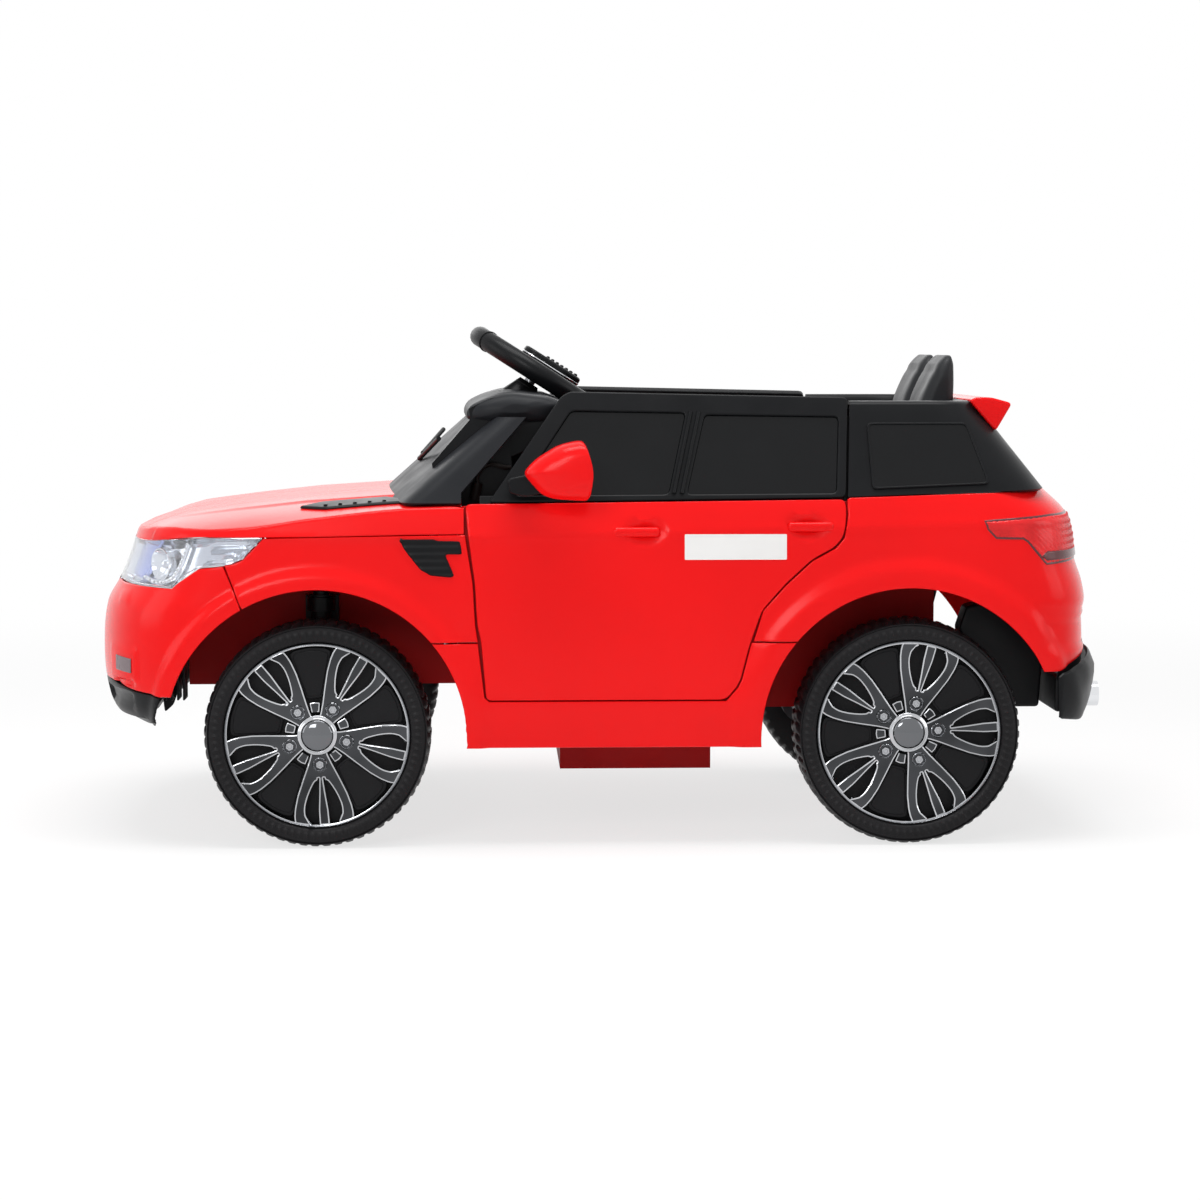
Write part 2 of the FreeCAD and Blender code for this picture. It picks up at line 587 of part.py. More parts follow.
canopy = tent(0).common(across(CANOPY_SHARES, wide))
canopy = canopy.cut(tent(s.frame_thick).common(across(CANOPY_HOLLOW_SHARES, wide)))
rear_deck_x = HUMP_SHARES[4][0] * s.length + s.wall
gate_half = s.roof_half - s.flare_band
seat_gate = room(V(0, -gate_half, s.belt_z), V(rear_deck_x, gate_half, s.height))
pane_space = tent(0).cut(tent(s.window_depth))
canopy = canopy.cut(seat_gate).cut(pane_space.common(across(QUARTER_PANE_SHARES, wide)))
plan = Part.Face(ring(LEVEL_SHARES[-2], 0)).extrude(V(0, 0, s.height - s.belt_z))
canopy = canopy.common(plan)
node("rear_canopy", shaped("rear_canopy", canopy))
spoiler_half = s.roof_half - s.wall
spoiler = across(SPOILER_SHARES, spoiler_half).cut(canopy)
node("spoiler", shaped("spoiler", spoiler))

frame_left = tent(0).cut(tent(s.frame_thick)).common(prism(FRAME_SHARES, left_low, left_high))
for shares in (FRONT_PANE_SHARES, REAR_PANE_SHARES):
    frame_left = frame_left.cut(pane_space.common(prism(shares, left_low, left_high)))
arm_root = -s.belt_half + s.frame_thick
mirror_arm = prism(MIRROR_ARM_SHARES, -s.belt_half - s.tip_d, arm_root).cut(tent(s.wall))
frame_left = frame_left.fuse(mirror_arm).removeSplitter()
MIRROR_STEP_SHARES = ((0.07, 0.8), (0.1, 0.97), (0.15, 1), (0.19, 0.9), (0.215, 0.6))
mirror_face = face_of(MIRROR_SHARES, 0)
mirror_mid = mirror_face.CenterOfMass
mirror_wires = []
for out_share, size_share in MIRROR_STEP_SHARES:
    y = -s.belt_half - out_share * s.half_width
    pts = []
    for a, b in MIRROR_SHARES:
        x = mirror_mid.x + (a * s.length - mirror_mid.x) * size_share
        z = mirror_mid.z + (b * s.height - mirror_mid.z) * size_share
        pts.append(V(x, y, z))
    curve = Part.BSplineCurve()
    curve.interpolate(Points=pts, PeriodicFlag=True)
    mirror_wires.append(Part.Wire([curve.toShape()]))
mirror_left = Part.makeLoft(mirror_wires, True).cut(frame_left)

# Door hinges: two bent necks on the door's inner face, each on a pin that a bracket of the tub holds.
HINGE_PAD_SHARE = 1.5
lug_list = []
pin_list = []
bracket_list = []
pin_radius = s.hinge_pin_d / 2
for z in (s.hinge_low_z, s.hinge_high_z):
    at = V(s.hinge_x, -s.hinge_y, z)
    up = V(0, 0, s.hinge_lug)
    barrel = rod(s.lug_radius, at, at + up)
    knee = at + V(s.neck_back, s.neck_in, 0)
    flank = V(-s.neck_in, s.neck_back, 0)
    flank = flank * (s.neck_width / 2 / flank.Length)
    neck_pts = [at - flank, knee - flank, knee + flank, at + flank]
    neck = Part.Face(Part.makePolygon(neck_pts + neck_pts[:1])).extrude(up)
    skin_y = -s.half_width - at.y
    corner = V(knee.x - s.neck_width / 2, at.y + skin_y, z)
    web = room(corner, knee + V(s.neck_width / 2, s.neck_width / 2, s.hinge_lug))
    pad = room(corner, at + V(s.neck_back * HINGE_PAD_SHARE, -s.pin_d / 4, s.hinge_lug))
    pin_bore = rod(pin_radius + s.run_gap, at - up, at + up * 2)
    lug = barrel.fuse(neck).fuse(web).fuse(pad).common(inner).cut(pin_bore)
    lug_list.append(lug)
    ear = V(0, 0, s.wall)
    lift = V(0, 0, s.gap)
    pin_list.append(rod(pin_radius, at - lift - ear, at + up + lift + ear))
    for low in (at - lift - ear, at + up + lift):
        root = low + V(-s.lug_radius, 0, 0)
        ear_block = rod(s.lug_radius, low, low + ear)
        plate = room(root, V(s.hinge_x + s.lug_radius, -s.spine_half + s.tub_wall, low.z + s.wall))
        bracket_list.append(ear_block.fuse(plate).cut(rod(pin_radius, low - ear, low + ear * 2)))
door_left = door_skin
for lug in lug_list:
    door_left = door_left.fuse(lug)
door_left = door_left.removeSplitter()
handles = []
HANDLE_SHARES = ((0.0333, 0.6035), (0.2015, 0.6125))
HANDLE_LENGTH_SHARE = 0.044
for x_share, z_share in HANDLE_SHARES:
    mid = V(x_share * s.length, -s.half_width + s.screw_head / 2, z_share * s.height)
    way = V(HANDLE_LENGTH_SHARE * s.length / 2, 0, 0)
    handles.append(rod(s.screw_radius, mid - way, mid + way).cut(inner))
for handle in handles:
    door_left = door_left.fuse(handle)
node("door_left", shaped("door_left", door_left))
node("door_right", shaped("door_right", mirrored(door_left)))
node("window_frame_left", shaped("window_frame_left", frame_left))
node("window_frame_right", shaped("window_frame_right", mirrored(frame_left)))
node("mirror_left", shaped("mirror_left", mirror_left))
node("mirror_right", shaped("mirror_right", mirrored(mirror_left)))
pins = [shaped("hinge_pin_%d" % n, pin) for n, pin in enumerate(pin_list)]
pins += [shaped("hinge_pin_right_%d" % n, mirrored(pin)) for n, pin in enumerate(pin_list)]
node("hinge_pins", group("hinge_pins", *pins))

# Tub: cabin floor, spine between the front wheels, seat box and belly, as one open moulding.
def tray(shares, half):
    """A box of the tub and the room inside it, open at the top."""
    whole = across(shares, half)
    box = whole.BoundBox
    low = V(box.XMin + s.tub_wall, -half + s.tub_wall, box.ZMin + s.tub_wall)
    return whole, room(low, V(box.XMax - s.tub_wall, half - s.tub_wall, s.height))


tub = None
for shares, half in ((CABIN_SHARES, s.cabin_half), (SPINE_SHARES, s.spine_half),
                     (REAR_BOX_SHARES, s.rear_half),
                     (BELLY_SHARES, s.rear_half)):
    whole, space = tray(shares, half)
    tub = (whole, space) if tub is None else (tub[0].fuse(whole), tub[1].fuse(space))
tub = tub[0].cut(tub[1])
crank_room = s.arm_length + s.rod_thick
crank_gate = V(foot.x - s.column_d, -crank_room, s.arm_z)
tub = tub.cut(room(crank_gate, V(crank_end.x + crank_room, crank_room, foot.z)))
for bracket in bracket_list:
    tub = tub.fuse(bracket).fuse(mirrored(bracket))

# Steering: wheel, pad and column stand on the tilted axis, with the crank at the column's foot.
column = rod(s.column_d / 2, foot - axis * (s.column_d / 2), column_top)
column = column.fuse(rod(s.column_d / 2, foot, crank_end + crank_way * (s.column_d / 2)))
column = column.fuse(rod(s.pin_d / 2, crank_end, crank_low)).removeSplitter()
node("steering_column", shaped("steering_column", column))
dash = dash.cut(column_hole)
BOOT_LOW_SHARE = 1.9
BOOT_TOP_SHARE = 0.75
BOOT_RADIUS_SHARES = (1.3, 0.7)
boot_low = steer_mid - axis * (s.boss_height * BOOT_LOW_SHARE)
boot_top = steer_mid - axis * (s.boss_height * BOOT_TOP_SHARE)
boot_way = boot_top - boot_low
boot_radii = [s.button_d * share for share in BOOT_RADIUS_SHARES]
boot = Part.makeCone(boot_radii[0], boot_radii[1], boot_way.Length, boot_low, boot_way)
boot = boot.cut(rod(s.column_d / 2 + s.gap, boot_low - axis, boot_top + axis))
dash = dash.fuse(boot.cut(across(DASH_HOLLOW_SHARES, dash_half)))

rim = prim("Torus", "rim", hub_at, TILT, Radius1="rim_outer - rim_tube", Radius2="rim_tube")
tilt_x = "sin(steer_tilt * 1 deg)"
tilt_z = "cos(steer_tilt * 1 deg)"


def on_axis(along):
    """The place on the steering axis at a distance from the middle of the wheel."""
    return ("steer_x + (%s) * %s" % (along, tilt_x), "0", "steer_z + (%s) * %s" % (along, tilt_z))


boss = prim("Cylinder", "boss", on_axis("-boss_height / 2"), TILT,
            Radius="boss_radius", Height="boss_height")
spokes = []
for n, turn in enumerate((90, 210, 330)):
    arm = doc.addObject("Part::Cylinder", "spoke_%d" % n)
    lie = FreeCAD.Rotation(V(0, 0, 1), turn).multiply(ALONG_X)
    arm.Placement = FreeCAD.Placement(V(0, 0, 0), TILT.multiply(lie))
    arm.setExpression("Radius", bound("spoke_thick / 2 + pin_d / 4"))
    arm.setExpression("Height", bound("rim_outer - rim_tube"))
    for name, text in zip("xyz", hub_at):
        arm.setExpression("Placement.Base." + name, bound(text))
    spokes.append(arm)
pocket = prim("Cylinder", "pad_pocket", on_axis("boss_height / 2 - pad_sink"), TILT,
              Radius="pad_radius + gap", Height="pad_sink * 2")
wheel_blank = fuse("wheel_blank", rim, boss, *spokes)
node("steering_wheel", cut("steering_wheel", wheel_blank, pocket))
pad_low = on_axis("boss_height / 2 - pad_sink + pad_travel + gap")
node("horn_pad", prim("Cylinder", "horn_pad", pad_low, TILT,
                      Radius="pad_radius", Height="pad_height - pad_travel"))

# Knuckles, tie rod and front beam.
post = prim("Cylinder", "post", ("front_axle_x", "-kingpin_y", "kingpin_low"), Radius="kingpin_d / 2",
            Height="kingpin_top - kingpin_low")
collar = prim("Cylinder", "collar", ("front_axle_x", "-kingpin_y", "eye_low_z + eye_thick + gap"),
              Radius="collar_radius", Height="eye_high_z - eye_low_z - eye_thick - gap * 2")
washer = prim("Cylinder", "washer", ("front_axle_x", "-kingpin_y", "eye_high_z + eye_thick + gap"),
              Radius="eye_radius - wall / 2", Height="wall / 2")
stub_end = ("front_axle_x", "-tyre_inner - tyre_width + dish_depth", "tyre_radius")
stub = prim("Cylinder", "stub", stub_end, ALONG_Y, Radius="axle_d / 2",
            Height="tyre_inner + tyre_width - dish_depth - kingpin_y")
arm = block("arm", ("front_axle_x", "-kingpin_y - arm_width / 2", "arm_z - arm_thick - gap"),
            ("front_axle_x + arm_length + arm_width / 2", "-kingpin_y + arm_width / 2", "arm_z - gap"))
pivot = prim("Cylinder", "pivot", ("front_axle_x + arm_length", "-kingpin_y", "arm_z - arm_thick"),
             Radius="pin_d / 2", Height="arm_thick + rod_thick + gap * 4")
knuckle = node("knuckle_left", fuse("knuckle_left", post, collar, washer, stub, arm, pivot))
node("knuckle_right", twin("knuckle_right", knuckle))
rod_x = "front_axle_x + arm_length"
rod_plate = block("rod_plate", (rod_x + " - rod_width / 2", "-kingpin_y - arm_width / 2", "arm_z"),
                  (rod_x + " + rod_width / 2", "kingpin_y + arm_width / 2", "arm_z + rod_thick"))
left_eye = prim("Cylinder", "left_eye", ("front_axle_x + arm_length", "-kingpin_y", "arm_z - gap"),
                Radius="pin_d / 2 + run_gap", Height="rod_thick + gap * 2")
right_eye = prim("Cylinder", "right_eye", ("front_axle_x + arm_length", "kingpin_y", "arm_z - gap"),
                 Radius="pin_d / 2 + gap", Height="rod_thick + gap * 2")
slot_x = ("steer_x - tan(steer_tilt * 1 deg) * (steer_z - arm_z - rod_thick / 2)"
          " + arm_length / cos(steer_tilt * 1 deg)")
rod_lug = block("rod_lug", ("front_axle_x + arm_length", "-rod_width / 2", "arm_z"),
                (slot_x + " + slot_length / 2 + rod_thick", "rod_width / 2", "arm_z + rod_thick"))
slot = block("slot", (slot_x + " - slot_length / 2", "-pin_d / 2 - gap / 2", "arm_z - gap"),
             (slot_x + " + slot_length / 2", "pin_d / 2 + gap / 2", "arm_z + rod_thick + gap"))
node("tie_rod", cut("tie_rod", fuse("rod_blank", rod_plate, rod_lug), left_eye, right_eye, slot))
beam = block("beam", ("front_axle_x - beam_width / 2", "-kingpin_y + collar_radius + gap * 4", "beam_z"),
             ("front_axle_x + beam_width / 2", "kingpin_y - collar_radius - gap * 4", "beam_z + beam_height"))
tower = block("tower", ("front_axle_x - beam_width / 2", "-kingpin_y + collar_radius + arm_clear", "beam_z"),
              ("front_axle_x + beam_width / 2", "-spine_half", "eye_high_z + eye_thick"))
eyes = []
for name, level in (("low", "eye_low_z"), ("high", "eye_high_z")):
    eyes.append(prim("Cylinder", "eye_" + name, ("front_axle_x", "-kingpin_y", level), Radius="eye_radius",
                     Height="eye_thick"))
    eyes.append(block("eye_arm_" + name, ("front_axle_x - eye_radius", "-kingpin_y", level),
                      ("front_axle_x + eye_radius", "-spine_half", level + " + eye_thick")))
eye_bore = prim("Cylinder", "eye_bore", ("front_axle_x", "-kingpin_y", "kingpin_low"),
                Radius="kingpin_d / 2 + run_gap", Height="kingpin_top - kingpin_low")
side_carrier = cut("side_carrier", fuse("carrier_blank", tower, *eyes), eye_bore)
node("front_beam", fuse("front_beam", beam, side_carrier, twin("side_carrier_right", side_carrier)))

# Rear axle, gearboxes and motors.
axle_end = "tyre_inner + tyre_width - dish_depth"
axle_start = ("rear_axle_x", "-(" + axle_end + ")", "tyre_radius")
node("rear_axle", prim("Cylinder", "rear_axle", axle_start, ALONG_Y, Radius="axle_d / 2",
                       Height="2 * (" + axle_end + ")"))
motor_x = "rear_axle_x - motor_back"
motor_z = "tyre_radius - motor_d * motor_drop_share"
box_out = "-rear_half - gearbox_thick"
case_round = prim("Cylinder", "case_round", ("rear_axle_x", box_out, "tyre_radius"), ALONG_Y,
                  Radius="gearbox_radius", Height="gearbox_thick")
case_nose = prim("Cylinder", "case_nose", (motor_x, box_out, motor_z), ALONG_Y,
                 Radius="motor_d * case_nose_share", Height="gearbox_thick")
case_web = block("case_web", (motor_x, box_out, "tyre_radius - gearbox_radius * web_low_share"),
                 ("rear_axle_x", "-rear_half", "tyre_radius + motor_d * web_high_share"))
case_bore = prim("Cylinder", "case_bore", ("rear_axle_x", box_out + " - gap", "tyre_radius"), ALONG_Y,
                 Radius="axle_d / 2", Height="gearbox_thick + gap * 2")
gearbox = cut("gearbox", fuse("case_blank", case_round, case_nose, case_web), case_bore)
node("gearboxes", group("gearboxes", gearbox, twin("gearbox_right", gearbox)))
motor = prim("Cylinder", "motor", (motor_x, "-rear_half", motor_z), ALONG_Y, Radius="motor_d / 2",
             Height="motor_length")
node("drive_motors", group("drive_motors", motor, twin("motor_right", motor)))

# Wheels: one left wheel at the middle of the car's length, then a copy at each corner.
wheel_z = s.tyre_radius
out_y = -s.tyre_inner - s.tyre_width
floor_y = out_y + s.dish_depth
web_y = -s.tyre_inner - s.back_depth


def disc(radius, low, high):
    return rod(radius, V(0, low, wheel_z), V(0, high, wheel_z))


tyre = disc(s.tyre_radius, out_y, -s.tyre_inner)
corners = [e for e in tyre.Edges if isinstance(e.Curve, Part.Circle)]
tyre = tyre.makeFillet(s.tyre_round, corners)
back = disc(s.back_radius, web_y, -s.tyre_inner + s.gap).cut(disc(s.hub_radius, web_y, -s.tyre_inner))
tyre = tyre.cut(disc(s.rim_radius, out_y - s.gap, floor_y)).cut(back)
tyre = tyre.cut(disc(s.axle_d / 2 + s.run_gap, out_y, 0))
RING_SHARE = 0.91
SPOKE_SET_SHARE = 1.4
CAP_WALL_SHARE = 0.4
ring_y = out_y + s.trim_thick
spoke_y = out_y + s.trim_thick * SPOKE_SET_SHARE
ring_out = s.rim_radius
trim = disc(ring_out, ring_y, floor_y).cut(disc(ring_out * RING_SHARE, out_y, floor_y))
trim = trim.fuse(disc(s.trim_hub, spoke_y, floor_y))
GROUPS = 5
SPOKE_TURNS = (-15, 0, 15)
SPOKE_WIDTH_SHARES = (1, 0.5, 1)
for index in range(GROUPS):
    for turn, width_share in zip(SPOKE_TURNS, SPOKE_WIDTH_SHARES):
        half = s.spoke_width * width_share / 2
        bar_end = wheel_z + ring_out * RING_SHARE + s.wall / 2
        bar = room(V(-half, spoke_y, wheel_z), V(half, floor_y - s.trim_thick, bar_end))
        bar.rotate(V(0, 0, wheel_z), V(0, 1, 0), 360 * index / GROUPS + turn)
        trim = trim.fuse(bar)
trim = trim.removeSplitter()
cap_wall = s.cap_height * CAP_WALL_SHARE
cap = disc(s.cap_radius, spoke_y - cap_wall, spoke_y)
dome_height = s.cap_height - cap_wall
dome_radius = (s.cap_radius ** 2 + dome_height ** 2) / (2 * dome_height)
dome_low = spoke_y - cap_wall
dome = Part.makeSphere(dome_radius, V(0, dome_low - dome_height + dome_radius, wheel_z))
cap = cap.fuse(dome.common(disc(s.cap_radius, dome_low - s.cap_height, dome_low))).removeSplitter()
for place, axle_x, turn in (("front", s.front_axle_x, s.front_trim_turn),
                            ("rear", s.rear_axle_x, s.rear_trim_turn)):
    for piece, shape in (("tyre", tyre), ("trim", trim), ("hub_cap", cap)):
        moved = shape.copy()
        moved.rotate(V(0, 0, wheel_z), V(0, 1, 0), turn)
        moved.translate(V(axle_x, 0, 0))
        name = "%s_%s" % (piece, place)
        node(name + "_left", shaped(name + "_left", moved))
        node(name + "_right", shaped(name + "_right", mirrored(moved)))

# Cabin: tub with its wings and shelves, seat, battery, control box, pedal, dashboard and its controls.
wing_half = s.rear_half
tub_limit = form(-s.wall - s.seam)
flange_out = -s.half_width + s.wall + s.flare_depth
for shares, low, high in ((WING_SHARES, -wing_half, -wing_half + s.tub_wall),
                          (SHELF_SHARES, -s.half_width + s.wall + s.gap + s.seam, -wing_half + s.tub_wall),
                          (FLANGE_SHARES, flange_out, -s.cabin_half + s.tub_wall),
                          (LEDGE_SHARES, -wing_half + s.tub_wall, -wing_half + s.tub_wall + s.rod_width)):
    plate = prism(shares, low, high).common(tub_limit)
    tub = tub.fuse(plate).fuse(mirrored(plate))
pedal_y = s.pedal_width / 2
pedal_mid = V(s.pedal_x, s.pedal_width, CABIN_SHARES[0][1] * s.height + s.tub_wall + s.plug_d)
wide_way = V(0, pedal_y, 0)
bar_radius = s.lug_radius
ear_way = V(0, s.wall, 0)
gap_way = V(0, s.gap, 0)
pedal_bar = rod(bar_radius, pedal_mid - wide_way, pedal_mid + wide_way)
pedal_plate = room(V(pedal_mid.x - s.pedal_length, pedal_mid.y - pedal_y, pedal_mid.z),
                   V(pedal_mid.x, pedal_mid.y + pedal_y, pedal_mid.z + bar_radius))
pedal_plate.rotate(pedal_mid, V(0, 1, 0), s.steer_tilt)
pedal_bore = rod(pin_radius + s.run_gap, pedal_mid - wide_way * 2, pedal_mid + wide_way * 2)
pedal = pedal_bar.fuse(pedal_plate).cut(pedal_bore)
node("pedal", shaped("pedal", pedal.removeSplitter()))
pin_ends = wide_way + gap_way + ear_way
node("pedal_pin", shaped("pedal_pin", rod(pin_radius, pedal_mid - pin_ends, pedal_mid + pin_ends)))
for root in (pedal_mid - pin_ends, pedal_mid + wide_way + gap_way):
    ear = rod(bar_radius, root, root + ear_way)
    leg_low = V(root.x - bar_radius, root.y, CABIN_SHARES[0][1] * s.height)
    leg = room(leg_low, V(root.x + bar_radius, root.y + s.wall, root.z))
    tub = tub.fuse(ear.fuse(leg).cut(rod(pin_radius, root - ear_way, root + ear_way * 2)))
tub = tub.removeSplitter()
node("tub", shaped("tub", tub))
seat_half = wing_half - s.tub_wall - s.seam
seat = across(SEAT_SHARES, seat_half)
HUMP_MID_SHARE = 0.24
HUMP_HALF_SHARE = 0.2
HUMP_ROUND_SHARE = 0.6
for side in (-1, 1):
    mid_y = side * HUMP_MID_SHARE * s.half_width
    half = HUMP_HALF_SHARE * s.half_width
    hump = prism(HUMP_SHARES, mid_y - half, mid_y + half)
    hump_top = max(z_share for x_share, z_share in HUMP_SHARES) * s.height
    flank = half * HUMP_ROUND_SHARE
    mould = room(V(0, mid_y - half, 0), V(s.length, mid_y + half, hump_top - flank))
    mould = mould.fuse(room(V(0, mid_y - half + flank, 0), V(s.length, mid_y + half - flank, hump_top)))
    for edge_y in (mid_y - half + flank, mid_y + half - flank):
        mould = mould.fuse(rod(flank, V(0, edge_y, hump_top - flank), V(s.length, edge_y, hump_top - flank)))
    seat = seat.fuse(hump.common(mould))
seat = seat.removeSplitter()
node("seat", shaped("seat", seat))
battery_half = s.rear_half - s.tub_wall * 3 - s.rod_width
node("battery", shaped("battery", across(BATTERY_SHARES, battery_half)))
node("control_box", shaped("control_box", across(CONTROL_SHARES, s.gearbox_radius)))

BUTTON_SIDE_SHARE = 1.5
button_z = (DASH_SHARES[6][1] + DASH_SHARES[7][1]) / 2 * s.height
button_mid = V(DASH_SHARES[6][0] * s.length, s.pedal_width * BUTTON_SIDE_SHARE, button_z)
button_out = V(s.button_proud + s.wall, 0, 0)
button_in = V(-s.button_height, 0, 0)
dash = dash.cut(rod(s.button_d / 2 + s.gap, button_mid - button_out * 3, button_mid + button_out * 2))
button = rod(s.button_d / 2, button_mid + button_in, button_mid + button_out)
node("power_button", shaped("power_button", button))
rocker_mid = V(button_mid.x, -button_mid.y, button_mid.z)
rocker_half = s.button_d / 2
rocker_hole = room(rocker_mid - V(s.flare_band, rocker_half + s.gap, s.button_d + s.gap * 3),
                   rocker_mid + V(s.flare_band, rocker_half + s.gap, s.button_d + s.gap * 3))
dash = dash.cut(rocker_hole)
rocker_axis = V(0, rocker_half, 0)
rocker = rod(s.button_d, rocker_mid - rocker_axis, rocker_mid + rocker_axis)
node("direction_rocker", shaped("direction_rocker", rocker))
node("dashboard", shaped("dashboard", dash.removeSplitter()))

# Small trim: wipers, exhaust tips, lead and plug, screws.
WIPER_SHARES = ((-0.1785, 0.73, -0.3), (-0.1575, 0.775, -0.62))
wiper_ends = [V(a * s.length, b_y * s.half_width, b * s.height) for a, b, b_y in WIPER_SHARES]
wiper = rod(s.hinge_pin_d / 2, wiper_ends[0], wiper_ends[1])
wiper = wiper.cut(windscreen)
wiper_right = mirrored(wiper)
node("wipers", group("wipers", shaped("wiper_left", wiper), shaped("wiper_right", wiper_right)))
TIP_SHARES = (0.5, 0.27)
TIP_Y_SHARE = 0.62
TIP_LENGTH_SHARE = 1.6
tip_end = V(TIP_SHARES[0] * s.length, -TIP_Y_SHARE * s.half_width, TIP_SHARES[1] * s.height)
tip_start = tip_end - V(s.tip_d * TIP_LENGTH_SHARE, 0, 0)
tip_bar = rod(s.tip_d / 2, tip_start, tip_end)
tip = tip_bar.cut(rod(s.tip_d / 2 - s.wall / 2, tip_end - V(s.tip_d, 0, 0), tip_end))
box_in = -s.rear_half - s.seam
rear_box = prism(REAR_CHASSIS_SHARES, -s.tyre_inner + s.gap * 4, box_in)
rear_box = rear_box.fuse(prism(CHASSIS_WEB_SHARES, -wide, box_in).common(outer))
valance = skin.common(across(VALANCE_SHARES, wide)).fuse(rear_box).fuse(mirrored(rear_box))
valance = valance.cut(tip_bar).cut(mirrored(tip_bar))
node("rear_valance", shaped("rear_valance", valance.removeSplitter()))
node("exhaust_tips", group("exhaust_tips", shaped("tip_left", tip), shaped("tip_right", mirrored(tip))))
LEAD_SHARES = ((-0.1195, 0.692), (-0.1175, 0.713), (-0.1065, 0.727), (-0.094, 0.722))
lead_y = -dash_half - s.plug_d / 2
lead_pts = [V(a * s.length, lead_y, b * s.height) for a, b in LEAD_SHARES]
lead_pts.append(lead_pts[-1] + V(s.plug_d / 2, s.plug_d / 2, 0))
lead_path = Part.BSplineCurve()
lead_path.interpolate(Points=lead_pts)
lead_ring = Part.Wire([Part.makeCircle(s.lead_d / 2, lead_pts[0], lead_pts[1] - lead_pts[0])])
lead = Part.Wire([lead_path.toShape()]).makePipeShell([lead_ring], True, True)
lead = lead.cut(dash)
node("dash_lead", shaped("dash_lead", lead))
plug_way = lead_pts[0] - lead_pts[1]
plug_way = plug_way / plug_way.Length
plug_end = lead_pts[0] + plug_way * s.plug_length
node("lead_plug", shaped("lead_plug", rod(s.plug_d / 2, lead_pts[0], plug_end)))
screws = []
SCREW_SHARES = ((-0.07, -0.75), (0.1, -0.75), (-0.07, 0.75), (0.1, 0.75))
floor_z = CABIN_SHARES[0][1] * s.height
for index, (x_share, y_share) in enumerate(SCREW_SHARES):
    at = V(x_share * s.length, y_share * s.half_width, floor_z)
    screws.append(shaped("screw_%d" % index, rod(s.screw_radius, at - V(0, 0, s.screw_head), at)))
PILLAR_SCREW_SHARE = (-0.0925, 0.785)
at = V(PILLAR_SCREW_SHARE[0] * s.length, -dash_half, PILLAR_SCREW_SHARE[1] * s.height)
end_screw = rod(s.screw_radius, at - V(0, s.screw_head, 0), at)
screws += [shaped("screw_left", end_screw), shaped("screw_right", mirrored(end_screw))]
node("panel_screws", group("panel_screws", *screws))

# Every piece is built and whole before any file is written.
doc.recompute()
for obj in doc.Objects:
    if "Invalid" in obj.State or "Error" in obj.State:
        raise RuntimeError("%s has state %s" % (obj.Label, obj.State))
broken = []
for label, obj in NODES:
    if obj.Shape.isNull() or not obj.Shape.isValid() or not obj.Shape.Solids:
        broken.append(label)
if broken:
    raise RuntimeError("not whole: " + ", ".join(broken))
for label, obj in NODES:
    obj.Shape.exportStep("parts/%s.step" % label)
    box = obj.Shape.BoundBox
    print("%-20s %d solids  x %.0f..%.0f  y %.0f..%.0f  z %.0f..%.0f" % (
        label, len(obj.Shape.Solids), box.XMin, box.XMax, box.YMin, box.YMax, box.ZMin, box.ZMax))
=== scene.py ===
"""Electric ride-on car: the finished look of the assembly, piece by piece, over its solids."""

import math

import bmesh
import bpy
from bpy.props import FloatProperty, FloatVectorProperty, IntProperty, PointerProperty
from mathutils import Matrix, Vector


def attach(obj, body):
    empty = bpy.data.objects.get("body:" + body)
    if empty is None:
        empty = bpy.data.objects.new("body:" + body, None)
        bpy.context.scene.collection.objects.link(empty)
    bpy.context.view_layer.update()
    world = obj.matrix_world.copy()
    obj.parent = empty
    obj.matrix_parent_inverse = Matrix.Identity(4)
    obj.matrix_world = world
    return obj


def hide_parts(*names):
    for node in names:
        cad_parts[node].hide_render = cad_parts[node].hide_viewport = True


bl_info = {
    "name": "Ride-on car",
    "version": (1, 0, 0),
    "blender": (4, 5, 0),
    "location": "View3D > Sidebar > Ride-on",
    "description": "Builds the red ride-on car's panels, wheels, lamps and cabin over its solids",
    "category": "Object",
}

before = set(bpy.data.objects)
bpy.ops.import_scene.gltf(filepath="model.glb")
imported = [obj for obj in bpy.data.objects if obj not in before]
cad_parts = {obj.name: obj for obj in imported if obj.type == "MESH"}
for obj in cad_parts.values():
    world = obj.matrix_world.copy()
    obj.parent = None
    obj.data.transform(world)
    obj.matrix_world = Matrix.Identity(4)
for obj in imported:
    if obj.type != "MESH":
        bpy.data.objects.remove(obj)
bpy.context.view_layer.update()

# Rings of the body: height, nose, tail and half width of each, in metres
LEVELS = [
    (0.107, -0.4725, 0.4855, 0.257), (0.125, -0.5045, 0.5025, 0.261), (0.152, -0.5165, 0.5115, 0.263),
    (0.195, -0.52, 0.5155, 0.264), (0.238, -0.5155, 0.5135, 0.264), (0.262, -0.5025, 0.5095, 0.2635),
    (0.286, -0.4925, 0.5015, 0.2625), (0.312, -0.4835, 0.4985, 0.261), (0.334, -0.4745, 0.4915, 0.257),
    (0.352, -0.4645, 0.4735, 0.251), (0.366, -0.4565, 0.4575, 0.245),
]
FRONT_LENGTH = 0.1456
REAR_LENGTH = 0.104
FRONT_POWER = 2.7
REAR_POWER = 3.2
SIDE_FRONT = -0.3699
SIDE_REAR = 0.4095
ARCH_Z = 0.111
ARCH_RADIUS = 0.15
FRONT_AXLE = -0.2855
REAR_AXLE = 0.3105
AXLE_Z = 0.114
CORNER_STEPS = 200
CORNER_HALF = 0.264
FLARE_BANDS = ((FRONT_AXLE, 0.019), (REAR_AXLE, 0.026))
FLARE_LIFT = 0.0052
FLARE_SHARES = (0.66, 1.26)
CREASE_Z = 0.3135
CREASE_RISE = 0.012
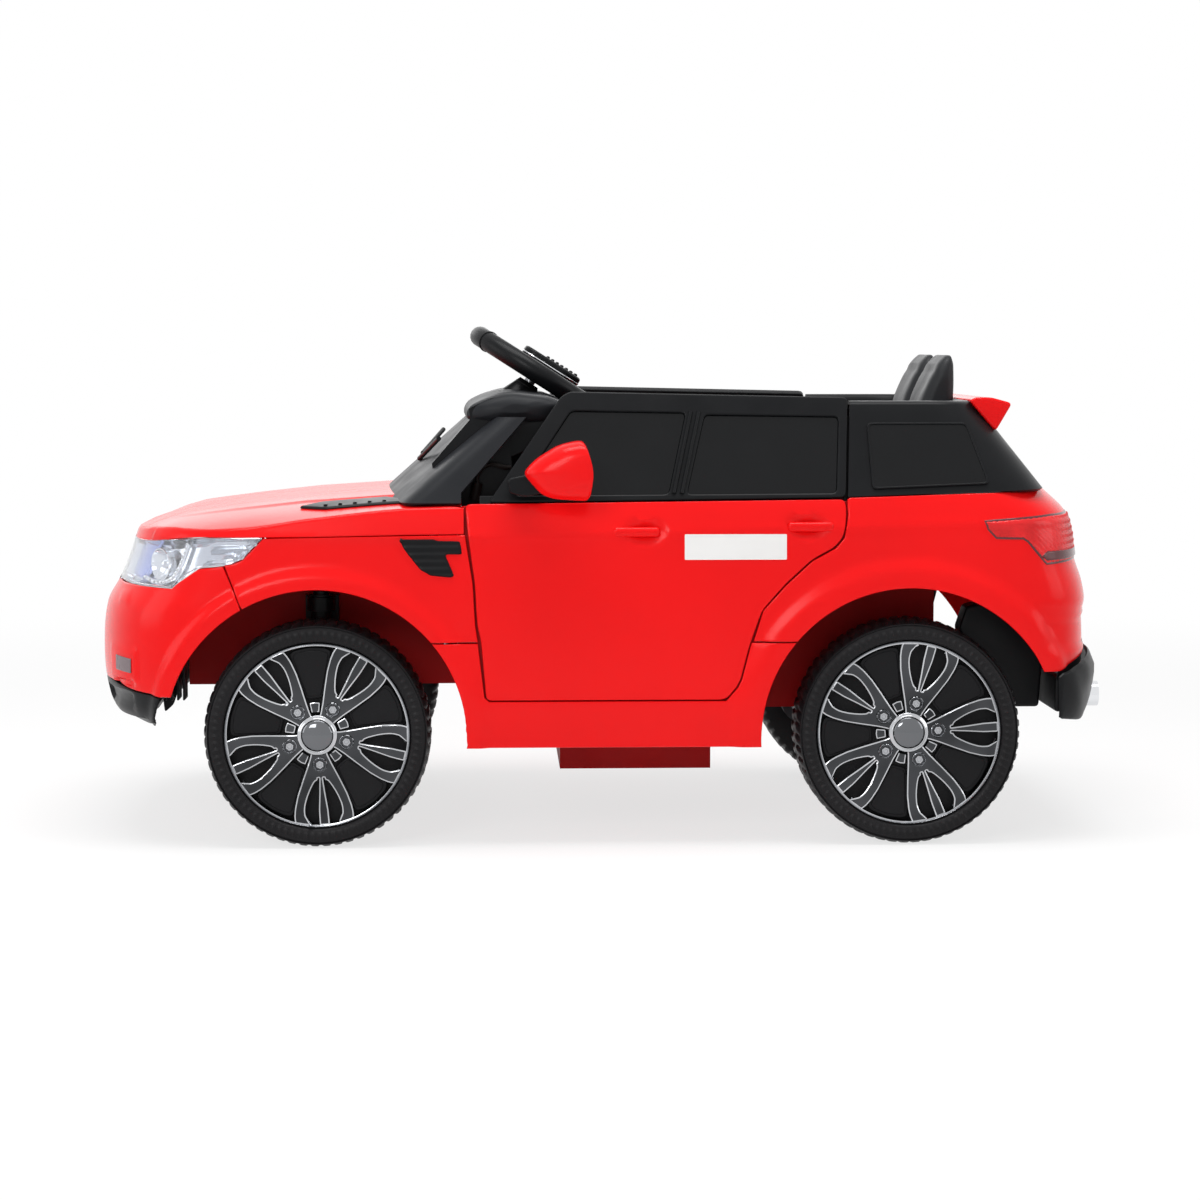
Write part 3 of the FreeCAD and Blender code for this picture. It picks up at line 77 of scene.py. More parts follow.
CREASE_RUN = (-0.2, 0.5)
CREASE_LIFT = 0.0016
CREASE_WIDTH = 0.0042
FLAT_NOSE_HALF = 0.2
SKIN_STEP = 0.0008
BELT_Z = 0.349
BELT_HALF = 0.251
ROOF_Z = 0.459
ROOF_HALF = 0.206


# Finishes


def new_finish(name):
    """A new material with its node tree, its shader and its Object coordinates."""
    finish = bpy.data.materials.new(name)
    finish.use_nodes = True
    tree = finish.node_tree
    shader = tree.nodes["Principled BSDF"]
    coords = tree.nodes.new("ShaderNodeTexCoord")
    return finish, tree, shader, coords.outputs["Object"]


def noise(tree, coords, scale, detail=2.0):
    """A noise texture's value over Object coordinates."""
    texture = tree.nodes.new("ShaderNodeTexNoise")
    texture.inputs["Scale"].default_value = scale
    texture.inputs["Detail"].default_value = detail
    tree.links.new(coords, texture.inputs["Vector"])
    return texture.outputs["Fac"]


def ramp(tree, value, low, high):
    """A value spread between two colours."""
    node = tree.nodes.new("ShaderNodeValToRGB")
    node.color_ramp.elements[0].position = 0.35
    node.color_ramp.elements[1].position = 0.65
    node.color_ramp.elements[0].color = (*low, 1)
    node.color_ramp.elements[1].color = (*high, 1)
    tree.links.new(value, node.inputs["Fac"])
    return node.outputs["Color"]


def spread(tree, value, low, high):
    """A value spread between two numbers."""
    node = tree.nodes.new("ShaderNodeMapRange")
    node.inputs["From Min"].default_value = 0.3
    node.inputs["From Max"].default_value = 0.7
    node.inputs["To Min"].default_value = low
    node.inputs["To Max"].default_value = high
    tree.links.new(value, node.inputs["Value"])
    return node.outputs["Result"]


def bump(tree, shader, height, strength):
    """A bump from a height value."""
    node = tree.nodes.new("ShaderNodeBump")
    node.inputs["Strength"].default_value = strength
    node.inputs["Distance"].default_value = 0.001
    tree.links.new(height, node.inputs["Height"])
    tree.links.new(node.outputs["Normal"], shader.inputs["Normal"])


def moulding(name, colour, rough, grain, depth, metal=0.0, gloss=0.13, tint=0.08, cloud=9.0):
    """A moulded plastic or plated finish: colour that varies in noisy patches, uneven gloss and a fine grain;
    on the dark chrome the patches are strong, a painted reflection.
    """
    finish, tree, shader, coords = new_finish(name)
    # Noisy colour patches: random tone, and on the dark chrome painted reflections
    tone_and_reflection_patches = noise(tree, coords, cloud, 3.0)
    low = tuple(c * (1 - tint) for c in colour)
    high = tuple(min(c * (1 + tint), 1) for c in colour)
    tree.links.new(ramp(tree, tone_and_reflection_patches, low, high), shader.inputs["Base Color"])
    patches = noise(tree, coords, cloud * 3.1, 4.0)
    tree.links.new(spread(tree, patches, rough * 0.85, rough * 1.15), shader.inputs["Roughness"])
    bump(tree, shader, noise(tree, coords, grain, 2.0), depth)
    shader.inputs["Metallic"].default_value = metal
    shader.inputs["Specular IOR Level"].default_value = gloss
    return finish


def clear_lens(name, colour, rough):
    """Clear moulded plastic with slight waviness."""
    finish = moulding(name, colour, rough, 60.0, 0.04, tint=0.02)
    shader = finish.node_tree.nodes["Principled BSDF"]
    shader.inputs["Transmission Weight"].default_value = 0.92
    shader.inputs["IOR"].default_value = 1.22
    return finish


def plated(name, colour, rough, grain, depth, tint, cloud=9.0):
    """A bright plated or metal finish."""
    return moulding(name, colour, rough, grain, depth, metal=1.0, tint=tint, cloud=cloud)


def shade(colour, factor):
    """A colour made darker or brighter."""
    return tuple(c * factor for c in colour)


FINISHES = {}


def make_finishes(colours):
    """Every finish of the car, by its plain name: colour, roughness, grain and its depth."""
    red = tuple(colours.body_red)
    black = tuple(colours.trim_black)
    made = {
        "body red": moulding("body_red", red, 0.2, 420.0, 0.012, gloss=0.14, tint=0.03, cloud=5.0),
        # The tub and the wheel boxes' walls take body red darkened to 0.42: painted shade, as these inner
        # faces lie in shade
        "shaded inner red": moulding("shaded_inner_red", shade(red, 0.42), 0.5, 300.0, 0.05, tint=0.1),
        "satin black": moulding("satin_black", black, 0.36, 900.0, 0.05, tint=0.12),
        "grained black": moulding("grained_black", black, 0.5, 1400.0, 0.16, tint=0.15),
        "pane black": moulding("pane_black", shade(black, 0.75), 0.2, 260.0, 0.01, gloss=0.2),
        # Windscreen and visor take trim black lightened 2.6 times: a painted sheen for the light their tops
        # catch
        "sheen screen grey": moulding("sheen_screen_grey", shade(black, 2.6), 0.42, 700.0, 0.05, gloss=0.12, tint=0.12),
        "tyre black": moulding("tyre_black", (0.0105, 0.010, 0.011), 0.42, 700.0, 0.08, tint=0.15),
        "blade black": moulding("blade_black", (0.008, 0.008, 0.009), 0.46, 800.0, 0.08, tint=0.15),
        # The dark chrome's colour varies strongly in noisy patches: painted reflections on the wheel trims
        "dark chrome": plated("dark_chrome", (0.052, 0.054, 0.058), 0.13, 90.0, 0.01, tint=0.4, cloud=12.0),
        "cap chrome": plated("cap_chrome", (0.16, 0.165, 0.175), 0.08, 60.0, 0.01, tint=0.08),
        # Bright chrome given only to the spokes' sloping edge faces: a painted glint where the edges catch
        # the light
        "glint edge chrome": plated("glint_edge_chrome", (0.52, 0.53, 0.55), 0.12, 90.0, 0.01, tint=0.2),
        "bright chrome": plated("bright_chrome", (0.74, 0.75, 0.77), 0.09, 90.0, 0.01, tint=0.05),
        "steel": plated("steel", (0.42, 0.43, 0.45), 0.3, 500.0, 0.05, tint=0.1),
        "lamp silver": plated("lamp_silver", (0.66, 0.68, 0.71), 0.16, 120.0, 0.02, tint=0.08),
        "lamp grey": moulding("lamp_grey", (0.2, 0.16, 0.17), 0.3, 300.0, 0.05, tint=0.1),
        "lens clear": clear_lens("lens_clear", (0.93, 0.95, 1.0), 0.04),
        "lamp red": moulding("lamp_red", (0.68, 0.018, 0.02), 0.2, 200.0, 0.02, gloss=0.22, tint=0.2,
                             cloud=24.0),
        "lamp blue": moulding("lamp_blue", (0.36, 0.42, 0.78), 0.2, 120.0, 0.02, metal=0.7, tint=0.08),
        "strip red": moulding("strip_red", (0.1, 0.018, 0.022), 0.2, 300.0, 0.03, gloss=0.4, tint=0.15),
        # Door jambs take body red darkened to 0.5: painted shade in the gap round each door
        "shaded jamb red": moulding("shaded_jamb_red", shade(red, 0.5), 0.45, 300.0, 0.04, tint=0.08),
        "bare white": moulding("bare_white", (0.8, 0.8, 0.79), 0.5, 900.0, 0.03, tint=0.02),
        "box grey": moulding("box_grey", (0.06, 0.062, 0.066), 0.5, 600.0, 0.06, tint=0.12),
        "cable black": moulding("cable_black", (0.016, 0.012, 0.011), 0.5, 900.0, 0.06, tint=0.15),
        # The seat takes trim black lightened 2.2 times: a painted sheen for the light on its top
        "sheen seat black": moulding("sheen_seat_black", shade(black, 2.2), 0.45, 1100.0, 0.14, gloss=0.2, tint=0.12),
    }
    FINISHES.update(made)


# Mesh helpers

MERGE = 1e-6


def whole(bm):
    """All of a bmesh, as its operators take it."""
    return bm.verts[:] + bm.edges[:] + bm.faces[:]


def cut_at(bm, axis, value):
    """Divides a bmesh along a plane across one axis."""
    at, way = [0, 0, 0], [0, 0, 0]
    at[axis], way[axis] = value, 1
    bmesh.ops.bisect_plane(bm, geom=whole(bm), dist=MERGE, plane_co=at, plane_no=way)


def from_curve(curve, merge):
    """The mesh of a curve, with its seams merged."""
    piece = bpy.data.objects.new(curve.name, curve)
    mesh = bpy.data.meshes.new_from_object(piece)
    bm = bmesh.new()
    bm.from_mesh(mesh)
    bpy.data.objects.remove(piece)
    bpy.data.curves.remove(curve)
    bpy.data.meshes.remove(mesh)
    bmesh.ops.remove_doubles(bm, verts=bm.verts[:], dist=merge)
    return bm


def place(name, bm, finish, body, nodes=(), sharp=38, second=None):
    """Makes a piece from a bmesh, smooths it and hangs it on its body in place of its solids."""
    mesh = bpy.data.meshes.new(name)
    bm.to_mesh(mesh)
    bm.free()
    piece = bpy.data.objects.new(name, mesh)
    bpy.context.scene.collection.objects.link(piece)
    mesh.materials.append(FINISHES[finish])
    mesh.polygons.foreach_set("use_smooth", [True] * len(mesh.polygons))
    mesh.set_sharp_from_angle(angle=math.radians(sharp))
    if second:
        mesh.materials.append(FINISHES[second])
    modifier = piece.modifiers.new("even_shading", "WEIGHTED_NORMAL")
    modifier.keep_sharp = True
    modifier.weight = 60
    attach(piece, body)
    if nodes:
        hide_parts(*nodes)
    return piece


def joined(bm, other):
    """Adds one bmesh to another."""
    mesh = bpy.data.meshes.new("join")
    other.to_mesh(mesh)
    other.free()
    bm.from_mesh(mesh)
    bpy.data.meshes.remove(mesh)
    return bm


def both_sides(bm):
    """Adds the mirror image on the right side."""
    made = bmesh.ops.duplicate(bm, geom=whole(bm))["geom"]
    verts = [g for g in made if isinstance(g, bmesh.types.BMVert)]
    faces = [g for g in made if isinstance(g, bmesh.types.BMFace)]
    bmesh.ops.scale(bm, vec=(1, -1, 1), verts=verts)
    bmesh.ops.reverse_faces(bm, faces=faces)
    return bm


def right_side(bm):
    """Turns a left piece into its right twin."""
    bmesh.ops.scale(bm, vec=(1, -1, 1), verts=bm.verts[:])
    bmesh.ops.reverse_faces(bm, faces=bm.faces[:])
    return bm


def left_side(bm):
    """A left piece as it is."""
    return bm


HAND_TURNS = (("left", left_side), ("right", right_side))


def arc(mid_x, mid_z, radius, start, end, steps):
    """Points on an arc in the side view, angles in degrees from +X towards +Z."""
    points = []
    for n in range(steps + 1):
        turn = math.radians(start + (end - start) * n / steps)
        points.append((mid_x + radius * math.cos(turn), mid_z + radius * math.sin(turn)))
    return points


def smooth_loop(points, radius=0.004, steps=3):
    """An outline with its corners rounded."""
    made = []
    count = len(points)
    for n in range(count):
        before, here, after = (Vector(points[(n + k) % count]) for k in (-1, 0, 1))
        to_before, to_after = before - here, after - here
        reach = min(radius, to_before.length * 0.45, to_after.length * 0.45)
        if reach < 1e-5:
            made.append(tuple(here))
            continue
        start = here + to_before.normalized() * reach
        end = here + to_after.normalized() * reach
        for k in range(steps + 1):
            t = k / steps
            made.append(tuple(start * (1 - t) ** 2 + here * 2 * t * (1 - t) + end * t * t))
    return made


def dense(points, step=0.007, closed=True):
    """An outline with its long runs divided."""
    made = []
    for n, here in enumerate(points):
        if n == len(points) - 1 and not closed:
            made.append(here)
            break
        after = points[(n + 1) % len(points)]
        length = math.dist(here, after)
        parts = max(1, int(length / step))
        for k in range(parts):
            t = k / parts
            made.append((here[0] + (after[0] - here[0]) * t, here[1] + (after[1] - here[1]) * t))
    return made


# Body form


def level_at(z):
    """Nose, tail and half width of the body at a height, on a smooth curve through the rings."""
    z = min(max(z, LEVELS[0][0]), LEVELS[-1][0])
    n = 0
    while n < len(LEVELS) - 2 and z > LEVELS[n + 1][0]:
        n += 1
    span = LEVELS[n + 1][0] - LEVELS[n][0]
    t = (z - LEVELS[n][0]) / span
    values = []
    for k in (1, 2, 3):
        slopes = []
        for m in (n, n + 1):
            low, high = max(m - 1, 0), min(m + 1, len(LEVELS) - 1)
            slopes.append((LEVELS[high][k] - LEVELS[low][k]) / (LEVELS[high][0] - LEVELS[low][0]) * span)
        a, b = LEVELS[n][k], LEVELS[n + 1][k]
        curve = (2 * t**3 - 3 * t**2 + 1) * a + (t**3 - 2 * t**2 + t) * slopes[0]
        values.append(curve + (3 * t**2 - 2 * t**3) * b + (t**3 - t**2) * slopes[1])
    return values


def corner_table(length, power):
    """Arc length, set-back share and side share round one corner of the body, from the side to the middle."""
    rows = []
    run = 0.0
    last = None
    for n in range(CORNER_STEPS + 1):
        turn = math.pi / 2 * (1 - n / CORNER_STEPS)
        back = 1 - max(math.cos(turn), 0) ** (2 / power)
        side = max(math.sin(turn), 0) ** (2 / power)
        here = (back * length, side * CORNER_HALF)
        if last:
            run += math.dist(here, last)
        last = here
        rows.append((run, back, side))
    return rows


FRONT_TABLE = corner_table(FRONT_LENGTH, FRONT_POWER)
REAR_TABLE = corner_table(REAR_LENGTH, REAR_POWER)
WRAP_FRONT = SIDE_FRONT - FRONT_TABLE[-1][0]
WRAP_REAR = SIDE_REAR + REAR_TABLE[-1][0]


def look_up(table, column, value, wanted):
    """A corner table's value in one column for a value in another, both running one way."""
    low, high = 0, len(table) - 1
    rising = table[high][column] > table[low][column]
    while high - low > 1:
        mid = (low + high) // 2
        if (table[mid][column] < value) == rising:
            low = mid
        else:
            high = mid
    a, b = table[low][column], table[high][column]
    t = 0 if abs(b - a) < 1e-12 else min(max((value - a) / (b - a), 0), 1)
    return table[low][wanted] + (table[high][wanted] - table[low][wanted]) * t


def wrap(along, z):
    """The point of the body's skin at a distance along its girth, where the side's own X is the measure."""
    hand = -1
    if along < WRAP_FRONT:
        along, hand = 2 * WRAP_FRONT - along, 1
    elif along > WRAP_REAR:
        along, hand = 2 * WRAP_REAR - along, 1
    nose, tail, half = level_at(z)
    front, rear = nose + FRONT_LENGTH, tail - REAR_LENGTH
    if along < SIDE_FRONT:
        run = SIDE_FRONT - along
        back = look_up(FRONT_TABLE, 0, run, 1)
        return Vector((nose + FRONT_LENGTH * back, hand * half * look_up(FRONT_TABLE, 0, run, 2), z))
    if along > SIDE_REAR:
        run = along - SIDE_REAR
        back = look_up(REAR_TABLE, 0, run, 1)
        return Vector((tail - REAR_LENGTH * back, hand * half * look_up(REAR_TABLE, 0, run, 2), z))
    x = front + (along - SIDE_FRONT) / (SIDE_REAR - SIDE_FRONT) * (rear - front)
    return Vector((x, hand * half, z))


def along_of(x, z, front_y=0.0, rear_y=0.0):
    """The girth measure of a point seen from the side, held to a least distance from the middle plane."""
    nose, tail, half = level_at(z)
    front, rear = nose + FRONT_LENGTH, tail - REAR_LENGTH
    if x < front:
        back = (x - nose) / FRONT_LENGTH
        along = WRAP_FRONT if back <= 0 else SIDE_FRONT - look_up(FRONT_TABLE, 1, back, 0)
        if front_y:
            along = max(along, SIDE_FRONT - look_up(FRONT_TABLE, 2, front_y / half, 0))
        return along
    if x > rear:
        back = (tail - x) / REAR_LENGTH
        along = WRAP_REAR if back <= 0 else SIDE_REAR + look_up(REAR_TABLE, 1, back, 0)
        if rear_y:
            along = min(along, SIDE_REAR + look_up(REAR_TABLE, 2, rear_y / half, 0))
        return along
    return SIDE_FRONT + (x - front) / (rear - front) * (SIDE_REAR - SIDE_FRONT)


def ease(value, low, high):
    """A smooth step from 0 to 1."""
    t = min(max((value - low) / (high - low), 0), 1)
    return t * t * (3 - 2 * t)


def relief(point):
    """How far the moulded skin stands proud of the plain form: arch flares and shoulder crease."""
    if abs(point.y) < FLAT_NOSE_HALF:
        return 0.0
    lift = 0.0
    for axle, band in FLARE_BANDS:
        reach = math.hypot(point.x - axle, point.z - ARCH_Z) - ARCH_RADIUS
        lift = max(lift, FLARE_LIFT * (1 - ease(reach, *(band * share for share in FLARE_SHARES))))
    crease = CREASE_Z + CREASE_RISE * ease(point.x, *CREASE_RUN)
    lift += CREASE_LIFT * math.exp(-(((point.z - crease) / CREASE_WIDTH) ** 2))
    return lift


def skin(along, z, lift=0.0):
    """A point of the finished skin, lifted along its outward normal."""
    point = wrap(along, z)
    across = wrap(along + SKIN_STEP, z) - wrap(along - SKIN_STEP, z)
    up = wrap(along, min(z + SKIN_STEP, LEVELS[-1][0])) - wrap(along, max(z - SKIN_STEP, LEVELS[0][0]))
    normal = across.cross(up).normalized()
    if normal.dot(Vector((point.x * 0.35, point.y, 0))) < 0:
        normal.negate()
    return point + normal * (lift + relief(point))


def thicken(bm, wall):
    """Gives a skin its wall: an inner copy along its normals, and the rim between the two."""
    bm.normal_update()
    shift = {v: v.normal * wall for v in bm.verts}
    rim = [(e.link_loops[0].vert, e.link_loops[0].link_loop_next.vert) for e in bm.edges if e.is_boundary]
    made = bmesh.ops.duplicate(bm, geom=whole(bm))
    twin = made["vert_map"]
    bmesh.ops.reverse_faces(bm, faces=[g for g in made["geom"] if isinstance(g, bmesh.types.BMFace)])
    for v, way in shift.items():
        twin[v].co = v.co - way
    for a, b in rim:
        bm.faces.new((b, a, twin[a], twin[b]))


def panel(outline, step=0.008, wall=0.0035, proud=0.0, edge=0.0011, drop=0.0013, shape=None, form=None,
          bands=((0.5, 0.28), (0.9, 0.0)), even=False):
    """A panel from its outline in girth and height: rounded edges, a close grid, its form, then its wall."""
    bm = bmesh.new()
    verts = [bm.verts.new((a, 0, z)) for a, z in outline]
    bm.faces.new(verts)
    bm.normal_update()
    if bm.faces[:][0].normal.y > 0:
        bmesh.ops.reverse_faces(bm, faces=bm.faces[:])
    depth = bm.verts.layers.float.new("depth")
    for v in bm.verts:
        v[depth] = -drop
    for width, sink in bands:
        core = max(bm.faces, key=lambda f: f.calc_area())
        bmesh.ops.inset_region(bm, faces=[core], thickness=edge * width, use_boundary=True,
                               use_even_offset=even)
        core = max(bm.faces, key=lambda f: f.calc_area())
        for v in core.verts:
            v[depth] = -drop * sink
    for axis in (0, 2):
        low = min(v.co[axis] for v in bm.verts)
        high = max(v.co[axis] for v in bm.verts)
        for n in range(math.floor(low / step), math.ceil(high / step) + 1):
            cut_at(bm, axis, n * step)
    bmesh.ops.remove_doubles(bm, verts=bm.verts[:], dist=0.00012)
    for v in bm.verts:
        a, z = v.co.x, v.co.z
        extra = shape(a, z) if shape else 0.0
        v.co = (form or skin)(a, z, proud + v[depth] + extra)
    if wall:
        thicken(bm, wall)
    return bm


def girth(points, front_y=0.0, rear_y=0.0, closed=True):
    """An outline seen from the side, as girth and height."""
    made = []
    for x, z in dense(points, closed=closed):
        here = (along_of(x, z, front_y, rear_y), z)
        if not made or math.dist(here, made[-1]) > 2e-4:
            made.append(here)
    return made


def round_nose(points):
    """A left outline that ends on the middle plane in front, with its right half added."""
    return points + [(2 * WRAP_FRONT - a, z) for a, z in reversed(points) if a > WRAP_FRONT + 1e-5]


def round_tail(points):
    """A left outline that ends on the middle plane behind, with its right half added."""
    return points + [(2 * WRAP_REAR - a, z) for a, z in reversed(points) if a < WRAP_REAR - 1e-5]


def plate(loops, thick, edge=0.001, at=None, steps=2):
    """A flat plate with rounded edges from outlines and their holes, drawn in X and Y and then placed."""
    curve = bpy.data.curves.new("plate", "CURVE")
    curve.dimensions = "2D"
    curve.fill_mode = "BOTH"
    curve.extrude = max(thick / 2 - edge, 1e-5)
    curve.bevel_depth = edge
    curve.bevel_resolution = steps
    curve.offset = -edge
    for loop in loops:
        spline = curve.splines.new("POLY")
        spline.points.add(len(loop) - 1)
        for point, (x, y) in zip(spline.points, loop):
            point.co = (x, y, 0, 1)
        spline.use_cyclic_u = True
    bm = from_curve(curve, 10 * MERGE)
    if at is not None:
        bmesh.ops.transform(bm, matrix=at, verts=bm.verts[:])
    bmesh.ops.recalc_face_normals(bm, faces=bm.faces[:])
    return bm


def rounded_box(size, at, edge=0.002, steps=2):
    """A box with rounded edges."""
    bm = bmesh.new()
    bmesh.ops.create_cube(bm, size=1, matrix=Matrix.Diagonal((*size, 1)))
    bmesh.ops.bevel(bm, geom=bm.edges[:], offset=edge, segments=steps, profile=0.5, affect="EDGES",
                    material=-1)
    bmesh.ops.transform(bm, matrix=at, verts=bm.verts[:])
    return bm


def turned(profile, at, steps=48):
    """A turned piece: a closed profile of radius and height, spun about its own Z."""
    bm = bmesh.new()
    verts = [bm.verts.new((r, 0, h)) for r, h in profile]
    edges = [bm.edges.new((verts[n], verts[(n + 1) % len(verts)])) for n in range(len(verts))]
    if profile[0][0] < 1e-6 and profile[-1][0] < 1e-6:
        bm.edges.remove(edges.pop())
    bmesh.ops.spin(bm, geom=bm.verts[:] + edges, cent=(0, 0, 0), axis=(0, 0, 1), angle=math.tau, steps=steps,
                   use_merge=True)
    bmesh.ops.remove_doubles(bm, verts=bm.verts[:], dist=MERGE)
    bmesh.ops.recalc_face_normals(bm, faces=bm.faces[:])
    bmesh.ops.transform(bm, matrix=at, verts=bm.verts[:])
    return bm


def tube(points, radius):
    """A round bar along a smooth line."""
    curve = bpy.data.curves.new("tube", "CURVE")
    curve.dimensions = "3D"
    curve.bevel_depth = radius
    curve.bevel_resolution = 3
    curve.use_fill_caps = True
    spline = curve.splines.new("NURBS")
    spline.points.add(len(points) - 1)
    for point, where in zip(spline.points, points):
        point.co = (*where, 1)
    spline.order_u = min(4, len(points))
    spline.use_endpoint_u = True
    spline.resolution_u = 8
    bm = from_curve(curve, MERGE)
    bmesh.ops.recalc_face_normals(bm, faces=bm.faces[:])
    return bm


def side_frame(y):
    """Places a plate drawn in X and Y as X and Z of the side view, its middle plane at a given Y."""
    return Matrix(((1, 0, 0, 0), (0, 0, -1, y), (0, 1, 0, 0), (0, 0, 0, 1)))


def lean(z):
    """Half width of the leaning upper sides at a height."""
    return BELT_HALF + (ROOF_HALF - BELT_HALF) * (z - BELT_Z) / (ROOF_Z - BELT_Z)


def lean_frame(lift=0.0):
    """Places a plate drawn in X and Z of the side view on the leaning left side."""
    slope = (ROOF_HALF - BELT_HALF) / (ROOF_Z - BELT_Z)
    out = Vector((0, -1, -slope)).normalized()
    base = slope * BELT_Z - BELT_HALF
    return Matrix((
        (1, 0, 0, 0), (0, -slope, out.y, base + out.y * lift), (0, 1, out.z, out.z * lift), (0, 0, 0, 1),
    ))


# Outlines in the side view, in metres

DOOR = [
    (-0.1365, 0.346), (-0.134, 0.319), (-0.127, 0.267), (-0.1245, 0.224), (-0.121, 0.21), (-0.116, 0.152),
    (-0.1125, 0.149), (0.1245, 0.149), (0.1355, 0.162), (0.1395, 0.17), (0.1475, 0.202), (0.1605, 0.239),
    (0.1835, 0.265), (0.21, 0.2895), (0.2335, 0.3025), (0.242, 0.3125), (0.2455, 0.331), (0.245, 0.35),
]
FENDER_EDGE = [
    (-0.3605, 0.246), (-0.3763, 0.2856), (-0.3691, 0.2864), (-0.3578, 0.2909), (-0.3371, 0.3122),
    (-0.1368, 0.3152), (-0.1292, 0.267), (-0.1267, 0.224), (-0.1242, 0.208),
]
BUMPER_TOP = [
    (-0.5545, 0.2608), (-0.4837, 0.2622), (-0.4745, 0.2624), (-0.4303, 0.2616), (-0.4239, 0.2672),
    (-0.4027, 0.2816), (-0.3773, 0.2846), (-0.3614, 0.246),
]
BUMPER_LOW = [(-0.4405, 0.1534), (-0.4695, 0.1564), (-0.4995, 0.1624), (-0.5545, 0.1584)]
LIP = [
    (-0.5545, 0.1572), (-0.4995, 0.1612), (-0.4695, 0.1552), (-0.4405, 0.1522), (-0.4465, 0.13),
    (-0.4525, 0.117), (-0.4625, 0.11), (-0.4785, 0.1075), (-0.5545, 0.1075),
]
SILL_TOP = [
    (-0.1242, 0.2065), (-0.1177, 0.1516), (-0.1131, 0.1478), (0.1251, 0.1478), (0.1368, 0.1612),
    (0.1409, 0.17), (0.1489, 0.202), (0.1505, 0.2065),
]
REAR_TOP = [
    (0.5655, 0.359), (0.4495, 0.358), (0.3875, 0.356), (0.2499, 0.3516), (0.247, 0.35), (0.2468, 0.331),
    (0.2434, 0.3116), (0.2347, 0.3012), (0.211, 0.2882), (0.1847, 0.2642), (0.1618, 0.2386), (0.1523, 0.208),
]
REAR_LOW = [(0.4625, 0.1756), (0.5045, 0.19), (0.5655, 0.193)]
VALANCE = [
    (0.5655, 0.1922), (0.5045, 0.1892), (0.4615, 0.1746), (0.4575, 0.171), (0.459, 0.131), (0.4625, 0.129),
    (0.4835, 0.127), (0.5655, 0.127),
]
LAMP = [
    (-0.3945, 0.3122), (-0.4645, 0.307), (-0.5545, 0.3036), (-0.5545, 0.262), (-0.4835, 0.2634),
    (-0.4745, 0.2636), (-0.4309, 0.2629), (-0.4251, 0.2686), (-0.4033, 0.2831), (-0.3699, 0.287),
    (-0.3589, 0.2915), (-0.3387, 0.3122),
]
TAIL_LAMP = [
    (0.3855, 0.327), (0.4545, 0.332), (0.5655, 0.332), (0.5655, 0.287), (0.4835, 0.287), (0.4485, 0.285),
    (0.4285, 0.308), (0.4235, 0.311), (0.3965, 0.3115), (0.3885, 0.32),
]


class CarColours(bpy.types.PropertyGroup):
    """Colours of the car's mouldings."""

    body_red: FloatVectorProperty(name="Body red", description="Colour of the outer red mouldings",
                                  default=(0.8, 0.006, 0.007), subtype="COLOR", min=0, max=1)
    trim_black: FloatVectorProperty(name="Trim black", description="Colour of the black mouldings",
                                    default=(0.0053, 0.0057, 0.0066), subtype="COLOR", min=0, max=1)


class CarSizes(bpy.types.PropertyGroup):
    """Sizes of the car's finishing details."""

    panel_wall: FloatProperty(name="Panel wall", description="Thickness of the red skin panels",
                              default=0.0035, unit="LENGTH", min=0.001, max=0.004)
    panel_grid: FloatProperty(name="Panel grid", description="Spacing of the skin panels' mesh",
                              default=0.008, unit="LENGTH", min=0.004, max=0.02)
    tread_lugs: IntProperty(name="Tread lugs", description="Lugs round each tyre's tread",
                            default=60, min=20, max=90)
    sidewall_nubs: IntProperty(name="Sidewall nubs", description="Nubs round each tyre's sidewall",
                               default=90, min=30, max=120)


class CAR_OT_finishes(bpy.types.Operator):
    """Makes the finishes and gives each solid that stays in view its own"""

    bl_idname = "car.finishes"
    bl_label = "Finishes"

    def execute(self, context):
        make_finishes(context.scene.car_colours)
        for name, finish in SOLID_FINISHES.items():
            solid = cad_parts[name]
            solid.data.materials.clear()
            solid.data.materials.append(FINISHES[finish])
        return {"FINISHED"}


SOLID_FINISHES = {
    # The tub takes the darkened red: painted shade on its inner faces
    "tub": "shaded inner red", "tie_rod": "steel", "front_beam": "satin black", "rear_axle": "steel",
    "gearboxes": "box grey", "drive_motors": "steel", "battery": "box grey", "control_box": "box grey",
    "hinge_pins": "steel", "pedal": "grained black", "pedal_pin": "steel", "steering_column": "steel",
    "dashboard": "satin black", "wipers": "satin black", "panel_screws": "steel", "dash_lead": "cable black",
    "lead_plug": "cable black", "power_button": "body red", "direction_rocker": "satin black",
    "exhaust_tips": "bright chrome", "headlamp_bowls": "lamp silver", "windscreen": "pane black",
    "rear_canopy": "satin black", "spoiler": "body red", "seat": "sheen seat black",
    "steering_wheel": "satin black", "horn_pad": "satin black", "fog_lamps": "lamp grey",
    "fender_vents": "satin black", "bonnet": "body red", "bonnet_vents": "satin black",
    "grille": "satin black", "headlamps": "lens clear", "tail_lamps": "lamp red",
}
HANDS = ("left", "right")
for hand in HANDS:
    SOLID_FINISHES["knuckle_" + hand] = "satin black"
    SOLID_FINISHES["window_frame_" + hand] = "satin black"
    SOLID_FINISHES["mirror_" + hand] = "body red"
    for end in ("front", "rear"):
        SOLID_FINISHES["tyre_%s_%s" % (end, hand)] = "tyre black"
        SOLID_FINISHES["trim_%s_%s" % (end, hand)] = "dark chrome"
        SOLID_FINISHES["hub_cap_%s_%s" % (end, hand)] = "dark chrome"

